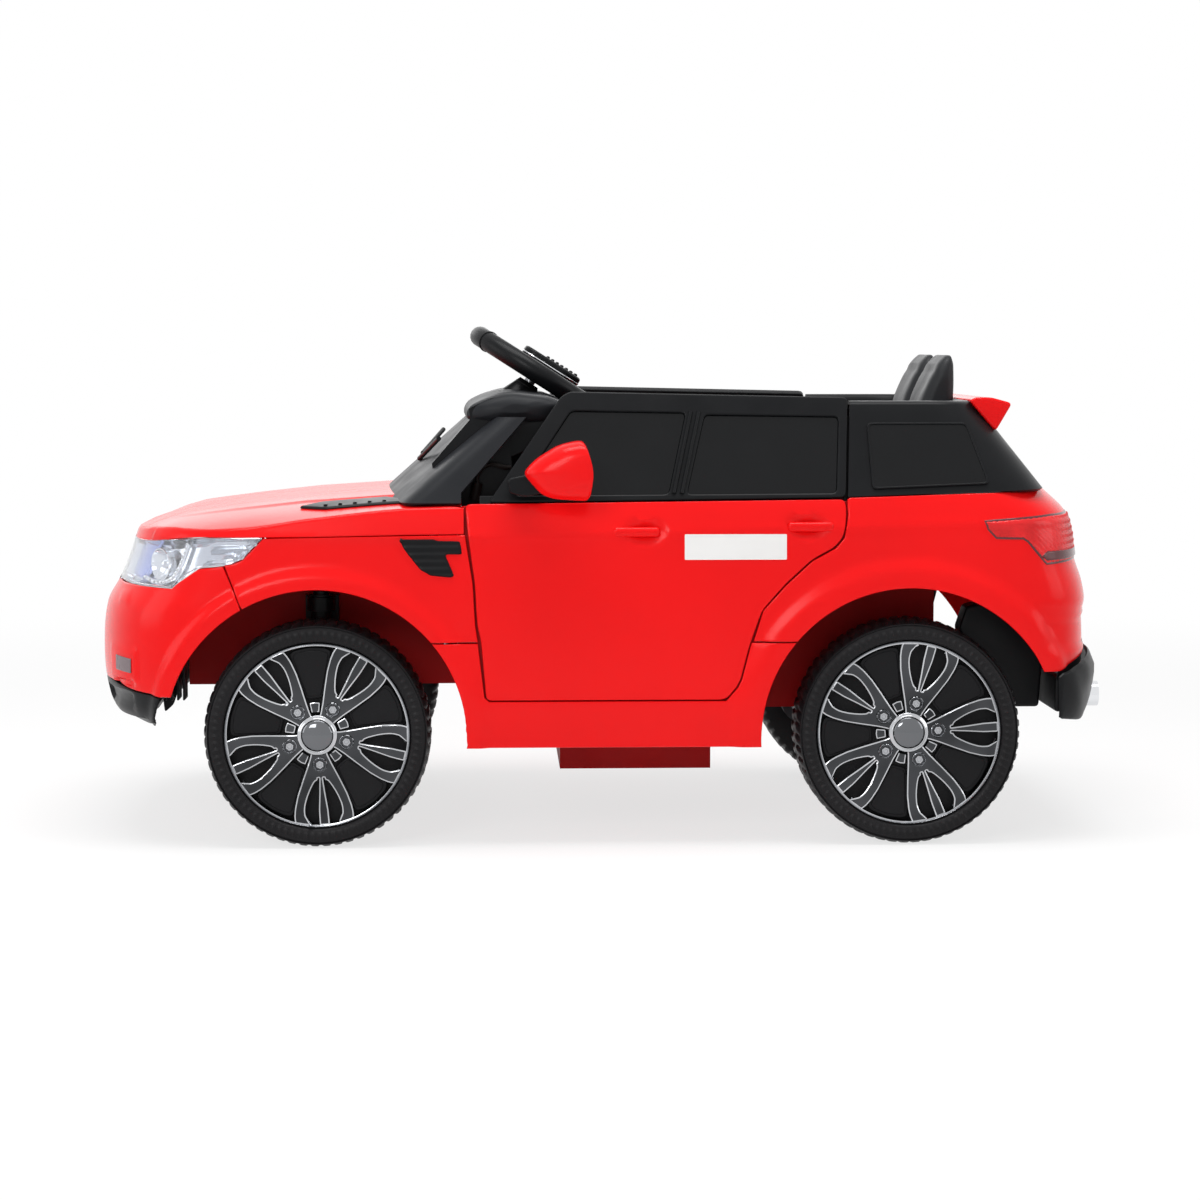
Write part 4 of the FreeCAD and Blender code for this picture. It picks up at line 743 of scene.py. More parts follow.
# Ends of the wheel arches' arcs, in degrees, with their steps
FENDER_ARC = (40.2, 119.0, 26)
SILL_FRONT_ARC = (-4, 39.6, 14)
SILL_REAR_ARC = (140.4, 184, 14)
BUMPER_ARC = (119.8, 163.4, 14)
TAIL_ARC = (139.8, 25.6, 38)
SILL_FOOT = [(0.15, 0.1005), (-0.12, 0.1005)]
FINE_GRID = 0.005
HANDLES = ((0.0346, 0.318), (0.2096, 0.3228))
HANDLE_RECESS = (0.023, 0.0105, 0.0058)


def arch(axle, span):
    """A stretch of a wheel arch."""
    return arc(axle, ARCH_Z, ARCH_RADIUS, *span)


def handle_recess(a, z):
    """The oval finger recesses behind the two handle bars of a door."""
    long, high, deep = HANDLE_RECESS
    sink = 0.0
    for mid_x, mid_z in HANDLES:
        reach = ((a - mid_x) / long) ** 2 + ((z - mid_z) / high) ** 2
        if reach < 1:
            sink = max(sink, deep * math.sqrt(1 - reach))
    return -sink


class CAR_OT_side_panels(bpy.types.Operator):
    """Builds the red fenders, sills and doors"""

    bl_idname = "car.side_panels"
    bl_label = "Side panels"

    def execute(self, context):
        sizes = context.scene.car_sizes
        step, wall = sizes.panel_grid, sizes.panel_wall
        fender = panel(girth(arch(FRONT_AXLE, FENDER_ARC) + FENDER_EDGE), FINE_GRID, wall)
        place("fenders", both_sides(fender), "body red", "body", ["fenders"])
        low, high = arch(REAR_AXLE, SILL_REAR_ARC), arch(FRONT_AXLE, SILL_FRONT_ARC)
        sill = panel(girth(SILL_TOP + low + SILL_FOOT + high), step, wall)
        place("sills", both_sides(sill), "body red", "body", ["sills"])
        door = panel(girth(smooth_loop(DOOR, radius=0.006)), FINE_GRID, wall, shape=handle_recess)
        twin = right_side(door.copy())
        place("door_panel_left", door, "body red", "door_left", ["door_left"])
        place("door_panel_right", twin, "body red", "door_right", ["door_right"])
        return {"FINISHED"}


VALANCE_LEDGE = [
    (0.5655, 0.203), (0.5045, 0.2), (0.4615, 0.186), (0.4595, 0.166), (0.5045, 0.18), (0.5655, 0.182),
]
LIP_LEDGE = [
    (-0.5545, 0.17), (-0.4995, 0.173), (-0.4695, 0.167), (-0.4425, 0.164), (-0.4445, 0.144), (-0.4695, 0.146),
    (-0.4995, 0.15), (-0.5545, 0.147),
]
FRONT_LINER = [
    (-0.4445, 0.15), (-0.4385, 0.203), (-0.4155, 0.212), (-0.4135, 0.196), (-0.4235, 0.17), (-0.4335, 0.14),
    (-0.4425, 0.132),
]
CHASSIS_BOX = [
    (0.3715, 0.212), (0.3795, 0.236), (0.4095, 0.242), (0.4595, 0.188), (0.4555, 0.131), (0.3995, 0.131),
]
# Boxes of the side view, each with the height of its relief
BUMPER_MARKS = (
    ((-0.4885, -0.4765, 0.243, 0.2545), 0.0011),
    ((-0.499, -0.4665, 0.1665, 0.1995), 0.0016),
    ((-0.495, -0.4715, 0.1605, 0.1655), -0.0035),
)
LIP_SLOT = ((-0.51, -0.474, 0.1365, 0.1525), -0.0045)
LIP_STEP = (0.1235, 0.1275, 0.004)
TAIL_RECESS = ((0.448, 0.52, 0.198, 0.2275), -0.002)
CORNER_FROM_Y = 0.12
LINER_RIBS = 4
LINER_RIB_PITCH = 0.006


def soft_span(value, low, high, blur):
    """1 between two values, with soft ends."""
    return ease(value, low - blur, low + blur) * (1 - ease(value, high - blur, high + blur))


def patch(point, box):
    """1 inside a box of the side view, with soft edges."""
    low_x, high_x, low_z, high_z = box
    return soft_span(point.x, low_x, high_x, blur=0.0015) * soft_span(point.z, low_z, high_z, blur=0.0018)


def lip_relief(a, z):
    """The slots and the lower step of the front lip."""
    point = wrap(a, z)
    box, depth = LIP_SLOT
    slot = patch(point, box) if abs(point.y) > CORNER_FROM_Y else 0.0
    low, high, step = LIP_STEP
    return depth * slot - step * (1 - ease(z, low, high))


def bumper_relief(a, z):
    """Embossed squares, raised fog pads and slots at the bumper's corners."""
    point = wrap(a, z)
    if abs(point.y) < CORNER_FROM_Y:
        return 0.0
    return sum(depth * patch(point, box) for box, depth in BUMPER_MARKS)


def tail_relief(a, z):
    """The step and the recess at the tail's corners."""
    point = wrap(a, z)
    if abs(point.y) < 0.1 or point.x < 0.42:
        return 0.0
    shelf = -0.0028 * ease(point.x, 0.432, 0.45) * (1 - ease(point.z, 0.236, 0.2425))
    box, depth = TAIL_RECESS
    return shelf + depth * patch(point, box)


def valance_relief(a, z):
    """The valance swells rearwards."""
    return 0.0065 * ease(wrap(a, z).x, 0.462, 0.492) * (1 - ease(z, 0.172, 0.19))


def ledge(outline, step):
    """A narrow strip behind a panel's top edge."""
    return panel(outline, step, wall=0.002, proud=-0.0042, edge=0.0008, drop=0.0004)


class CAR_OT_nose_and_tail(bpy.types.Operator):
    """Builds the panels that go round the nose and the tail"""

    bl_idname = "car.nose_and_tail"
    bl_label = "Nose and tail"

    def execute(self, context):
        sizes = context.scene.car_sizes
        step, wall = sizes.panel_grid, sizes.panel_wall
        bumper = round_nose(girth(BUMPER_TOP + arch(FRONT_AXLE, BUMPER_ARC) + BUMPER_LOW, closed=False))
        shell = panel(bumper, step=0.0035, wall=wall, shape=bumper_relief)
        place("front_bumper", shell, "body red", "body", ["front_bumper"])
        lip = panel(round_nose(girth(LIP, closed=False)), step=0.004, wall=wall, shape=lip_relief)
        joined(lip, ledge(round_nose(girth(LIP_LEDGE, closed=False)), step))
        outline = smooth_loop(FRONT_LINER, radius=0.003)
        liner = plate([outline], thick=0.003, edge=0.0008, at=side_frame(-0.205))
        for n in range(LINER_RIBS):
            spot = Matrix.Translation((-0.4385 + LINER_RIB_PITCH * n, -0.216, 0.172))
            joined(liner, rounded_box((0.0022, 0.03, 0.05), spot, edge=0.0008))
        joined(lip, both_sides(liner))
        place("front_lip", lip, "satin black", "body", ["front_lip"])
        tail = round_tail(girth(REAR_TOP + arch(REAR_AXLE, TAIL_ARC) + REAR_LOW, closed=False))
        place("rear_body", panel(tail, FINE_GRID, wall, shape=tail_relief), "body red", "body", ["rear_body"])
        valance = round_tail(girth(VALANCE, closed=False))
        skirt = panel(valance, step, wall, proud=0.004, edge=0.002, drop=0.0022, shape=valance_relief)
        joined(skirt, ledge(round_tail(girth(VALANCE_LEDGE, closed=False)), step))
        box = plate([smooth_loop(CHASSIS_BOX)], thick=0.0345, edge=0.003, at=side_frame(-0.1682))
        bracket = Matrix.Translation((0.4655, -0.198, 0.151))
        joined(box, rounded_box((0.01, 0.095, 0.036), bracket, edge=0.003))
        joined(skirt, box)
        place("rear_valance", skirt, "satin black", "body", ["rear_valance"])
        return {"FINISHED"}


# Wheels, drawn in their own frame: X and Y as X and Z of the side view, Z outwards

SPOKE_HALF = [
    (0.011, 0.0068), (0.0207, 0.0086), (0.03, 0.0122), (0.045, 0.0188), (0.0605, 0.0252), (0.0727, 0.0287),
    (0.08, 0.0298), (0.0864, 0.0296), (0.0903, 0.0138), (0.0838, 0.0168), (0.08, 0.0187), (0.074, 0.0187),
    (0.0697, 0.0179), (0.063, 0.0156), (0.0574, 0.0131), (0.051, 0.0096), (0.0466, 0.0066), (0.0455, 0.0038),
    (0.0432, 0.0036), (0.0432, 0.0017), (0.06, 0.0031), (0.0755, 0.0047), (0.0905, 0.005),
]
BLADE_HALF = [
    (0.0365, 0.0082), (0.056, 0.0142), (0.072, 0.0186), (0.083, 0.0212), (0.0868, 0.0155), (0.0888, 0.0),
]
PAD_HALF = [(0.0225, 0.0042), (0.0325, 0.0056), (0.0335, 0.0)]
# Turned profiles: radius, and distance out from the car's middle plane
TYRE_PROFILE = [
    (0.0705, 0.2), (0.0705, 0.1905), (0.088, 0.189), (0.1, 0.1885), (0.1075, 0.191), (0.1118, 0.1955),
    (0.1136, 0.201), (0.114, 0.206), (0.114, 0.212), (0.114, 0.218), (0.114, 0.224), (0.114, 0.23),
    (0.114, 0.236), (0.114, 0.242), (0.1138, 0.247), (0.113, 0.2515), (0.1118, 0.2552), (0.1108, 0.2572),
    (0.1103, 0.2586), (0.1094, 0.2586), (0.109, 0.2576), (0.1075, 0.2588), (0.106, 0.2598), (0.104, 0.2606),
    (0.102, 0.261), (0.1, 0.2608), (0.098, 0.2602), (0.096, 0.2594), (0.0945, 0.258), (0.0936, 0.2555),
    (0.0934, 0.25), (0.0934, 0.243), (0.09, 0.2415), (0.012, 0.2415), (0.012, 0.222), (0.0705, 0.222),
]
RIM_PROFILE = [
    (0.0934, 0.245), (0.0934, 0.2562), (0.0928, 0.2572), (0.0921, 0.2572), (0.0916, 0.2566), (0.091, 0.257),
    (0.0904, 0.2568), (0.0899, 0.256), (0.0899, 0.245),
]
HUB_PROFILE = [
    (0.0, 0.245), (0.0205, 0.245), (0.0205, 0.2536), (0.0196, 0.2548), (0.0183, 0.2552), (0.0172, 0.2562),
    (0.0163, 0.256), (0.0157, 0.255), (0.0157, 0.25), (0.0, 0.25),
]
BOSS_PROFILE = [
    (0.0046, 0.246), (0.0074, 0.246), (0.0074, 0.2548), (0.0069, 0.2554), (0.0061, 0.2554), (0.0056, 0.2548),
    (0.0052, 0.251), (0.0046, 0.251),
]
NUT_PROFILE = [
    (0.0, 0.2515), (0.0046, 0.2515), (0.0046, 0.2534), (0.004, 0.2541), (0.0024, 0.2541), (0.002, 0.2535),
    (0.0, 0.2535),
]
FLOOR_PROFILE = [(0.0, 0.2418), (0.0932, 0.2418), (0.0932, 0.2438), (0.0, 0.2438)]
DOME_FOOT = [(0.0, 0.249), (0.015, 0.249), (0.0152, 0.2552)]
DOME_RADIUS = 0.0152
DOME_BASE = 0.2556
DOME_HEIGHT = 0.0042
DOME_ANGLES = (8, 25, 42, 60, 76)
NUB_RING = (0.0955, 0.1077)
NUB_FACE = 0.255
NUB_HEIGHT = 0.0013
NUB_SINK = 0.0004
TREAD_FROM_RADIUS = 0.1112
TREAD_SPAN = (0.188, 0.257)
TREAD_WIDTH = 0.074
TREAD_FOLDS = 3
TREAD_DEPTH = 0.0021
SPOKES = 5
SPOKE_STEP = 72
NUT_CIRCLE = 0.03
# Slopes of the spokes' faces that take the bright chrome: painted glints on their edges
GLINT_SLOPES = (0.1, 0.978)
WHEELS = (("front", FRONT_AXLE, -85.5), ("rear", REAR_AXLE, 3.6))


def wheel_at(axle):
    """Places a left wheel's drawing on its axle."""
    return Matrix(((1, 0, 0, axle), (0, 0, -1, 0), (0, 1, 0, AXLE_Z), (0, 0, 0, 1)))


def moulded_tyre(lugs, nubs):
    """A hard tyre: zigzag tread, a shoulder bead and a ring of nubs on its sidewall."""
    bm = turned(TYRE_PROFILE, Matrix.Identity(4), steps=360)
    inner, outer = NUB_RING
    for v in bm.verts:
        radius = math.hypot(v.co.x, v.co.y)
        turn = math.atan2(v.co.y, v.co.x)
        if v.co.z > NUB_FACE and inner < radius < outer:
            ring = math.sin(math.pi * (radius - inner) / (outer - inner))
            v.co.z += NUB_HEIGHT * ring * max(0.0, math.cos(turn * nubs)) - NUB_SINK * ring
        if radius > TREAD_FROM_RADIUS and v.co.z < TREAD_SPAN[1]:
            zigzag = abs(((v.co.z - TREAD_SPAN[0]) / TREAD_WIDTH * TREAD_FOLDS) % 2 - 1)
            share = (turn / math.tau * lugs + zigzag * 0.5) % 1
            groove = 1 - ease(abs(share - 0.5), 0.12, 0.26)
            keep = 1 - TREAD_DEPTH * groove / radius
            v.co.x *= keep
            v.co.y *= keep
    return bm


def dished(a, z, lift):
    """The wheel trim's shallow dish."""
    radius = math.hypot(a, z)
    height = 0.2525 + 0.0042 * ease(radius, 0.03, 0.091) + 0.0016 * (1 - ease(radius, 0.012, 0.03))
    return Vector((a, z, height + lift))


def spoke_turns(start):
    """The angles of the five spokes, or of the gaps between them."""
    return [math.radians(start + SPOKE_STEP * k) for k in range(SPOKES)]


def swung(points, turn):
    """Points of the wheel's drawing, turned about its middle."""
    cos, sin = math.cos(turn), math.sin(turn)
    return [(u * cos - v * sin, u * sin + v * cos) for u, v in points]


def on_nut_circle(turn):
    """A wheel nut's place."""
    return Matrix.Translation((NUT_CIRCLE * math.cos(turn), NUT_CIRCLE * math.sin(turn), 0))


def spokes(group_turn):
    """Five forked spokes, the pads between them, the outer ring, the hub ring and the nuts' bosses."""
    bm = bmesh.new()
    trident = smooth_loop(SPOKE_HALF + [(u, -v) for u, v in reversed(SPOKE_HALF)], radius=0.0016, steps=2)
    pad = smooth_loop(PAD_HALF + [(u, -v) for u, v in reversed(PAD_HALF[:-1])], radius=0.0012, steps=2)
    for turn in spoke_turns(group_turn):
        joined(bm, panel(swung(trident, turn), step=0.009, wall=0.006, edge=0.0012, drop=0.0008, form=dished,
                         bands=((1.0, 0.0),), even=True))
        joined(bm, panel(swung(pad, turn + math.radians(SPOKE_STEP / 2)), step=0.009, wall=0.005,
                         proud=-0.0022, edge=0.0011, drop=0.0012, form=dished))
    joined(bm, turned(RIM_PROFILE, Matrix.Identity(4), steps=120))
    joined(bm, turned(HUB_PROFILE, Matrix.Identity(4), steps=64))
    for turn in spoke_turns(group_turn):
        joined(bm, turned(BOSS_PROFILE, on_nut_circle(turn), steps=32))
    return bm


def blades(group_turn):
    """The matte blades between the spokes, over the wheel's floor."""
    bm = turned(FLOOR_PROFILE, Matrix.Identity(4), steps=64)
    blade = BLADE_HALF + [(u, -v) for u, v in reversed(BLADE_HALF[:-1])]
    inset = [(0.006 + u * 0.9, v * 0.86) for u, v in blade]
    for turn in spoke_turns(group_turn + SPOKE_STEP / 2):
        for shape, proud in ((blade, -0.0052), (inset, -0.0044)):
            outline = swung(smooth_loop(shape, radius=0.003), turn)
            joined(bm, panel(outline, step=0.012, wall=0.003, proud=proud, edge=0.0009, drop=0.0009,
                             form=dished))
    return bm


def lug_nuts(group_turn):
    """Five hexagon nuts with a dimple."""
    bm = bmesh.new()
    for turn in spoke_turns(group_turn):
        joined(bm, turned(NUT_PROFILE, on_nut_circle(turn) @ Matrix.Rotation(turn, 4, "Z"), steps=6))
    return bm


def hub_dome():
    """The domed hub cap."""
    profile = DOME_FOOT[:]
    for turn in map(math.radians, DOME_ANGLES):
        profile.append((DOME_RADIUS * math.cos(turn), DOME_BASE + DOME_HEIGHT * math.sin(turn)))
    return turned(profile + [(0.0, DOME_BASE + DOME_HEIGHT)], Matrix.Identity(4))


class CAR_OT_wheels(bpy.types.Operator):
    """Builds the four wheels with their tyres, spokes, blades, nuts and caps"""

    bl_idname = "car.wheels"
    bl_label = "Wheels"

    def execute(self, context):
        sizes = context.scene.car_sizes
        tyre = moulded_tyre(sizes.tread_lugs, sizes.sidewall_nubs)
        for end, axle, group_turn in WHEELS:
            for name, bm, finish, node in (
                ("tyre", tyre.copy(), "tyre black", "tyre_%s_%s"),
                ("spokes", spokes(group_turn), "dark chrome", "trim_%s_%s"),
                ("blades", blades(group_turn), "blade black", None),
                ("lug_nuts", lug_nuts(group_turn), "steel", None),
                ("hub_dome", hub_dome(), "cap chrome", "hub_cap_%s_%s"),
            ):
                bmesh.ops.transform(bm, matrix=wheel_at(axle), verts=bm.verts[:])
                bm.normal_update()
                # Sloping spoke faces take the brighter chrome: a painted glint on the edges
                low, high = GLINT_SLOPES
                for f in bm.faces:
                    f.material_index = int(name == "spokes" and low < abs(f.normal.y) < high)
                second = "glint edge chrome" if name == "spokes" else None
                for hand in HANDS:
                    piece = bm.copy() if hand == "left" else right_side(bm.copy())
                    nodes = [node % (end, hand)] if node else []
                    body = "wheel_%s_%s" % (end, hand)
                    place("%s_%s_%s" % (name, end, hand), piece, finish, body, nodes, second=second)
                bm.free()
        tyre.free()
        return {"FINISHED"}


# Upper mouldings

# Bonnet's shoulder height, and how far its middle rises above that, along X
SHOULDER = [
    (-0.4805, 0.3148), (-0.4675, 0.3175), (-0.4545, 0.323), (-0.4285, 0.329), (-0.3635, 0.3355),
    (-0.3015, 0.3408), (-0.1405, 0.3452), (-0.09, 0.3452),
]
BULGE = [
    (-0.49, 0.0), (-0.462, 0.0008), (-0.4365, 0.0032), (-0.3815, 0.0055), (-0.2945, 0.0082),
    (-0.2105, 0.0122), (-0.1405, 0.0132), (-0.09, 0.0132),
]
BONNET_END = -0.1405
BONNET_VENT = [
    (-0.3055, -0.204), (-0.2785, -0.222), (-0.1975, -0.222), (-0.1925, -0.212), (-0.2165, -0.178),
    (-0.2835, -0.184),
]
VENT_SLATS = 5
FRAME = [
    (-0.1135, 0.347), (-0.0395, 0.4525), (-0.0305, 0.4575), (0.2515, 0.4515), (0.2455, 0.3516),
]
FRONT_PANE = [(-0.0295, 0.438), (0.0865, 0.436), (0.0675, 0.355), (-0.0865, 0.354)]
REAR_PANE = [(0.1055, 0.434), (0.2415, 0.432), (0.2365, 0.356), (0.0855, 0.355)]
QUARTER_PANE = [(0.2695, 0.425), (0.3715, 0.425), (0.3915, 0.364), (0.2725, 0.359)]
QUARTER_MIDDLE = (0.328, 0.393)
FRAME_FOOT = [(-0.122, 0.337), (0.2315, 0.339), (0.2315, 0.358), (-0.122, 0.356)]
FRAME_BARS = (((0.0725, 0.3555), (0.0915, 0.4365)), ((0.0805, 0.3555), (0.0995, 0.4362)))
CANOPY_FRONT = [(0.238, 0.352), (0.262, 0.352), (0.262, 0.436), (0.238, 0.436)]
SPOILER = [
    (0.3775, 0.4475), (0.3835, 0.451), (0.3995, 0.451), (0.4215, 0.445), (0.4045, 0.416), (0.3975, 0.424),
]
FENDER_VENT = [
    (-0.2025, 0.311), (-0.1675, 0.311), (-0.1645, 0.3095), (-0.1415, 0.309), (-0.1395, 0.296),
    (-0.1565, 0.296), (-0.1475, 0.275), (-0.1505, 0.273), (-0.1715, 0.275), (-0.1815, 0.281), (-0.1965, 0.3),
]
VISOR = [
    (-0.1335, 0.4285), (-0.1345, 0.4355), (-0.1305, 0.4425), (-0.118, 0.449), (-0.1, 0.4545),
    (-0.088, 0.456), (-0.052, 0.4515), (-0.037, 0.4455), (-0.0345, 0.4425), (-0.037, 0.4375),
    (-0.047, 0.4265), (-0.085, 0.4235), (-0.115, 0.4255),
]
VISOR_HALF = 0.2055
VISOR_TIP = 0.93
VISOR_TIP_SHARES = [VISOR_TIP, 0.965, 0.985, 0.996, 1]
SCREEN_FOOT = 0.3465
SCREEN_TOP = 0.4315
SCREEN_BOW = 0.033
CANOPY_LOW = 0.3515
CANOPY_HIGH = 0.4435
CANOPY_CORNER = 0.05
# Rise and inset of the canopy's rounded roof edge
CANOPY_EDGE = (
    (0.0018, 0.0012), (0.0033, 0.0038), (0.004, 0.0075), (0.004, 0.016), (0.0015, 0.0195), (-0.004, 0.0205),
)


def between(rows, value):
    """A value on a line through pairs."""
    if value <= rows[0][0]:
        return rows[0][1]
    for (a, low), (b, high) in zip(rows, rows[1:]):
        if value <= b:
            return low + (high - low) * (value - a) / (b - a)
    return rows[-1][1]


def soft(rows, value):
    """The mean of a line through pairs about a value, so that its corners are round."""
    return sum(between(rows, value + 0.004 * k) for k in range(-3, 4)) / 7


def bonnet_fall(x, y):
    """How far the bonnet's top rounds off towards its sides, less so near the windscreen."""
    return (0.0125 - 0.0105 * ease(x, -0.36, -0.18)) * max(0.0, (abs(y) - 0.12) / 0.132) ** 2


def bonnet_top(x, y, lift=0.0):
    """A point on the bonnet's top: shoulder height, a little crown, and the raised middle."""
    dome = 0.8 * (1 - min(abs(y) / 0.254, 1) ** 2) + 0.2 * (1 - ease(abs(y), 0.161, 0.174))
    return Vector((x, y, between(SHOULDER, x) + soft(BULGE, x) * dome - bonnet_fall(x, y) + lift))


def girth_at(x, y, z):
    """The girth measure of a point on the skin's left half."""
    if x < -0.34 and abs(y) < 0.235:
        return SIDE_FRONT - look_up(FRONT_TABLE, 2, min(abs(y) / level_at(z)[2], 1), 0)
    return along_of(x, z)


def bonnet_shell():
    """The bonnet: a close grid inside its shoulder line, then its sides down to the seam."""
    line = []
    for n in range(75):
        along = WRAP_FRONT + (BONNET_END - WRAP_FRONT) * n / 74
        z = 0.33
        for _ in range(6):
            point = wrap(along, z)
            z = between(SHOULDER, point.x) - bonnet_fall(point.x, point.y)
        point = wrap(along, z)
        line.append((point.x, point.y))
    line[-1] = (BONNET_END, line[-1][1])
    bm = bmesh.new()
    outline = line + [(x, -y) for x, y in reversed(line) if y < -1e-5]
    bm.faces.new([bm.verts.new((x, y, 0)) for x, y in outline])
    bm.normal_update()
    if bm.faces[:][0].normal.z < 0:
        bmesh.ops.reverse_faces(bm, faces=bm.faces[:])
    lines = [(0, -0.48 + 0.01 * n) for n in range(34)] + [(1, 0.0125 * n) for n in range(-21, 22)]
    lines += [(1, s * y) for s in (-1, 1) for y in (0.158, 0.1605, 0.165, 0.171, 0.1755, 0.178)]
    for axis, value in lines:
        cut_at(bm, axis, value)
    bmesh.ops.remove_doubles(bm, verts=bm.verts[:], dist=0.0004)
    for v in bm.verts:
        v.co = bonnet_top(v.co.x, v.co.y)
    rim = [e for e in bm.edges if e.is_boundary and min(v.co.x for v in e.verts) < -0.1408]
    shoulder = rim[:]
    measure = bm.verts.layers.float.new("measure")
    top = bm.verts.layers.float.new("top")
    for v in {v for e in rim for v in e.verts}:
        v[measure] = girth_at(v.co.x, v.co.y, v.co.z)
        v[top] = v.co.z
    for share, inward in ((0.3, 0), (0.65, 0), (0.94, 0), (1.0, 0.001), (1.0, 0.006)):
        made = bmesh.ops.extrude_edge_only(bm, edges=rim)["geom"]
        rim = [g for g in made if isinstance(g, bmesh.types.BMEdge)]
        for v in {v for e in rim for v in e.verts}:
            low = 0.3132 + 0.0028 * ease(v.co.x, -0.34, -0.14) - 0.0085 * ease(-v.co.x, 0.395, 0.478)
            z = v[top] + (low - v[top]) * share
            point = skin(v[measure], z, -inward)
            x = point.x if v.co.x < -0.145 else v.co.x
            y = math.copysign(point.y, v.co.y) if abs(v.co.y) > MERGE else 0
            v.co = (x, y, z)
    bmesh.ops.bevel(bm, geom=[e for e in shoulder if e.is_valid], offset=0.003, segments=3, profile=0.5,
                    affect="EDGES", material=-1, clamp_overlap=False)
    bmesh.ops.recalc_face_normals(bm, faces=bm.faces[:])
    return bm


def loft(rings, closed=True, caps=True):
    """A skin over rings of equal count."""
    bm = bmesh.new()
    count = len(rings[0])
    rows = [[bm.verts.new(p) for p in ring] for ring in rings]
    for low, high in zip(rows, rows[1:]):
        for n in range(count if closed else count - 1):
            m = (n + 1) % count
            bm.faces.new((low[n], low[m], high[m], high[n]))
    if caps and closed:
        bm.faces.new(rows[0])
        bm.faces.new(list(reversed(rows[-1])))
    bmesh.ops.remove_doubles(bm, verts=bm.verts[:], dist=MERGE)
    bmesh.ops.recalc_face_normals(bm, faces=bm.faces[:])
    return bm


def screen_shell():
    """Windscreen and both pillars in one bowed moulding."""
    rings = []
    for k in range(17):
        z = SCREEN_FOOT + (SCREEN_TOP - SCREEN_FOOT) * k / 16
        half = lean(z) - 0.0005
        front = -0.1815 + (-0.104 + 0.1815) * (z - 0.3584) / (0.4274 - 0.3584)
        rear = max(BONNET_END + (-0.0755 - BONNET_END) * (z - 0.357) / (0.431 - 0.357), BONNET_END)
        ring = [(rear + (front + 0.016 - rear) * n / 5, -half) for n in range(5)]
        edge = half - 0.019
        pane = front - SCREEN_BOW * (1 - (edge / half) ** 2) - 0.001
        for n in range(7):
            s = n / 6
            a, b, c = (front + 0.016, -half), (front - 0.001, -half), (pane, -edge)
            ring.append(tuple((1 - s) ** 2 * a[m] + 2 * s * (1 - s) * b[m] + s * s * c[m] for m in (0, 1)))
        for n in range(1, 15):
            y = -edge * (1 - n / 14)
            ring.append((front - SCREEN_BOW * (1 - (y / half) ** 2) - 0.001, y))
        ring += [(x, -y) for x, y in reversed(ring[:-1])]
        rings.append([Vector((x, y, z)) for x, y in ring])
    bm = loft(rings, closed=False, caps=False)
    bm.normal_update()
    middle = max(bm.faces, key=lambda f: -f.calc_center_median().x)
    if middle.normal.x > 0:
        bmesh.ops.reverse_faces(bm, faces=bm.faces[:])
    bmesh.ops.solidify(bm, geom=bm.faces[:], thickness=0.004)
    bmesh.ops.recalc_face_normals(bm, faces=bm.faces[:])
    return bm


def visor_hood():
    """The rounded hood over the dashboard, bowed like the windscreen and rounded at its ends."""
    loop = [Vector(p) for p in smooth_loop(VISOR, 0.006, 2)]
    middle = sum(loop, Vector((0, 0))) / len(loop)
    rings = []
    middle_shares = [-0.85 + 0.1 * n for n in range(18)]
    for s in [-s for s in reversed(VISOR_TIP_SHARES)] + middle_shares + VISOR_TIP_SHARES:
        y = s * VISOR_HALF
        tip = max((abs(s) - VISOR_TIP) / (1 - VISOR_TIP), 0)
        size = max(math.sqrt(max(1 - tip**2, 0)), 0.25)
        shift = -0.005 * (1 - s * s)
        ring = []
        for p in loop:
            q = middle + (p - middle) * size
            bow = shift * ease(-q.x, 0.055, 0.125)
            ring.append(Vector((q.x + bow, y, q.y + 0.001 * (1 - s * s))))
        rings.append(ring)
    return loft(rings)


CANOPY_FOOT = [(0.25, 0.3522), (0.3875, 0.3567), (0.4495, 0.3588), (0.6, 0.3596)]


def canopy_ring(z, t):
    """The rear canopy's outline at a height: side, rounded corner and bowed tail, on the left half."""
    half = lean(z)
    tail = 0.4585 + (0.3895 - 0.4585) * t
    corner = CANOPY_CORNER
    front = 0.2478 + 0.006 * (z - 0.3516) / 0.1
    points = [(front + (tail - corner - front) * n / 9, -half) for n in range(9)]
    for n in range(9):
        turn = math.pi / 2 * n / 8
        across = corner * (1 - math.cos(turn) ** 0.9)
        points.append((tail - corner + corner * math.sin(turn) ** 0.9, across - half))
    for n in range(1, 9):
        y = -(half - corner) * (1 - n / 8)
        points.append((tail + 0.006 * (1 - (y / half) ** 2), y))
    return points


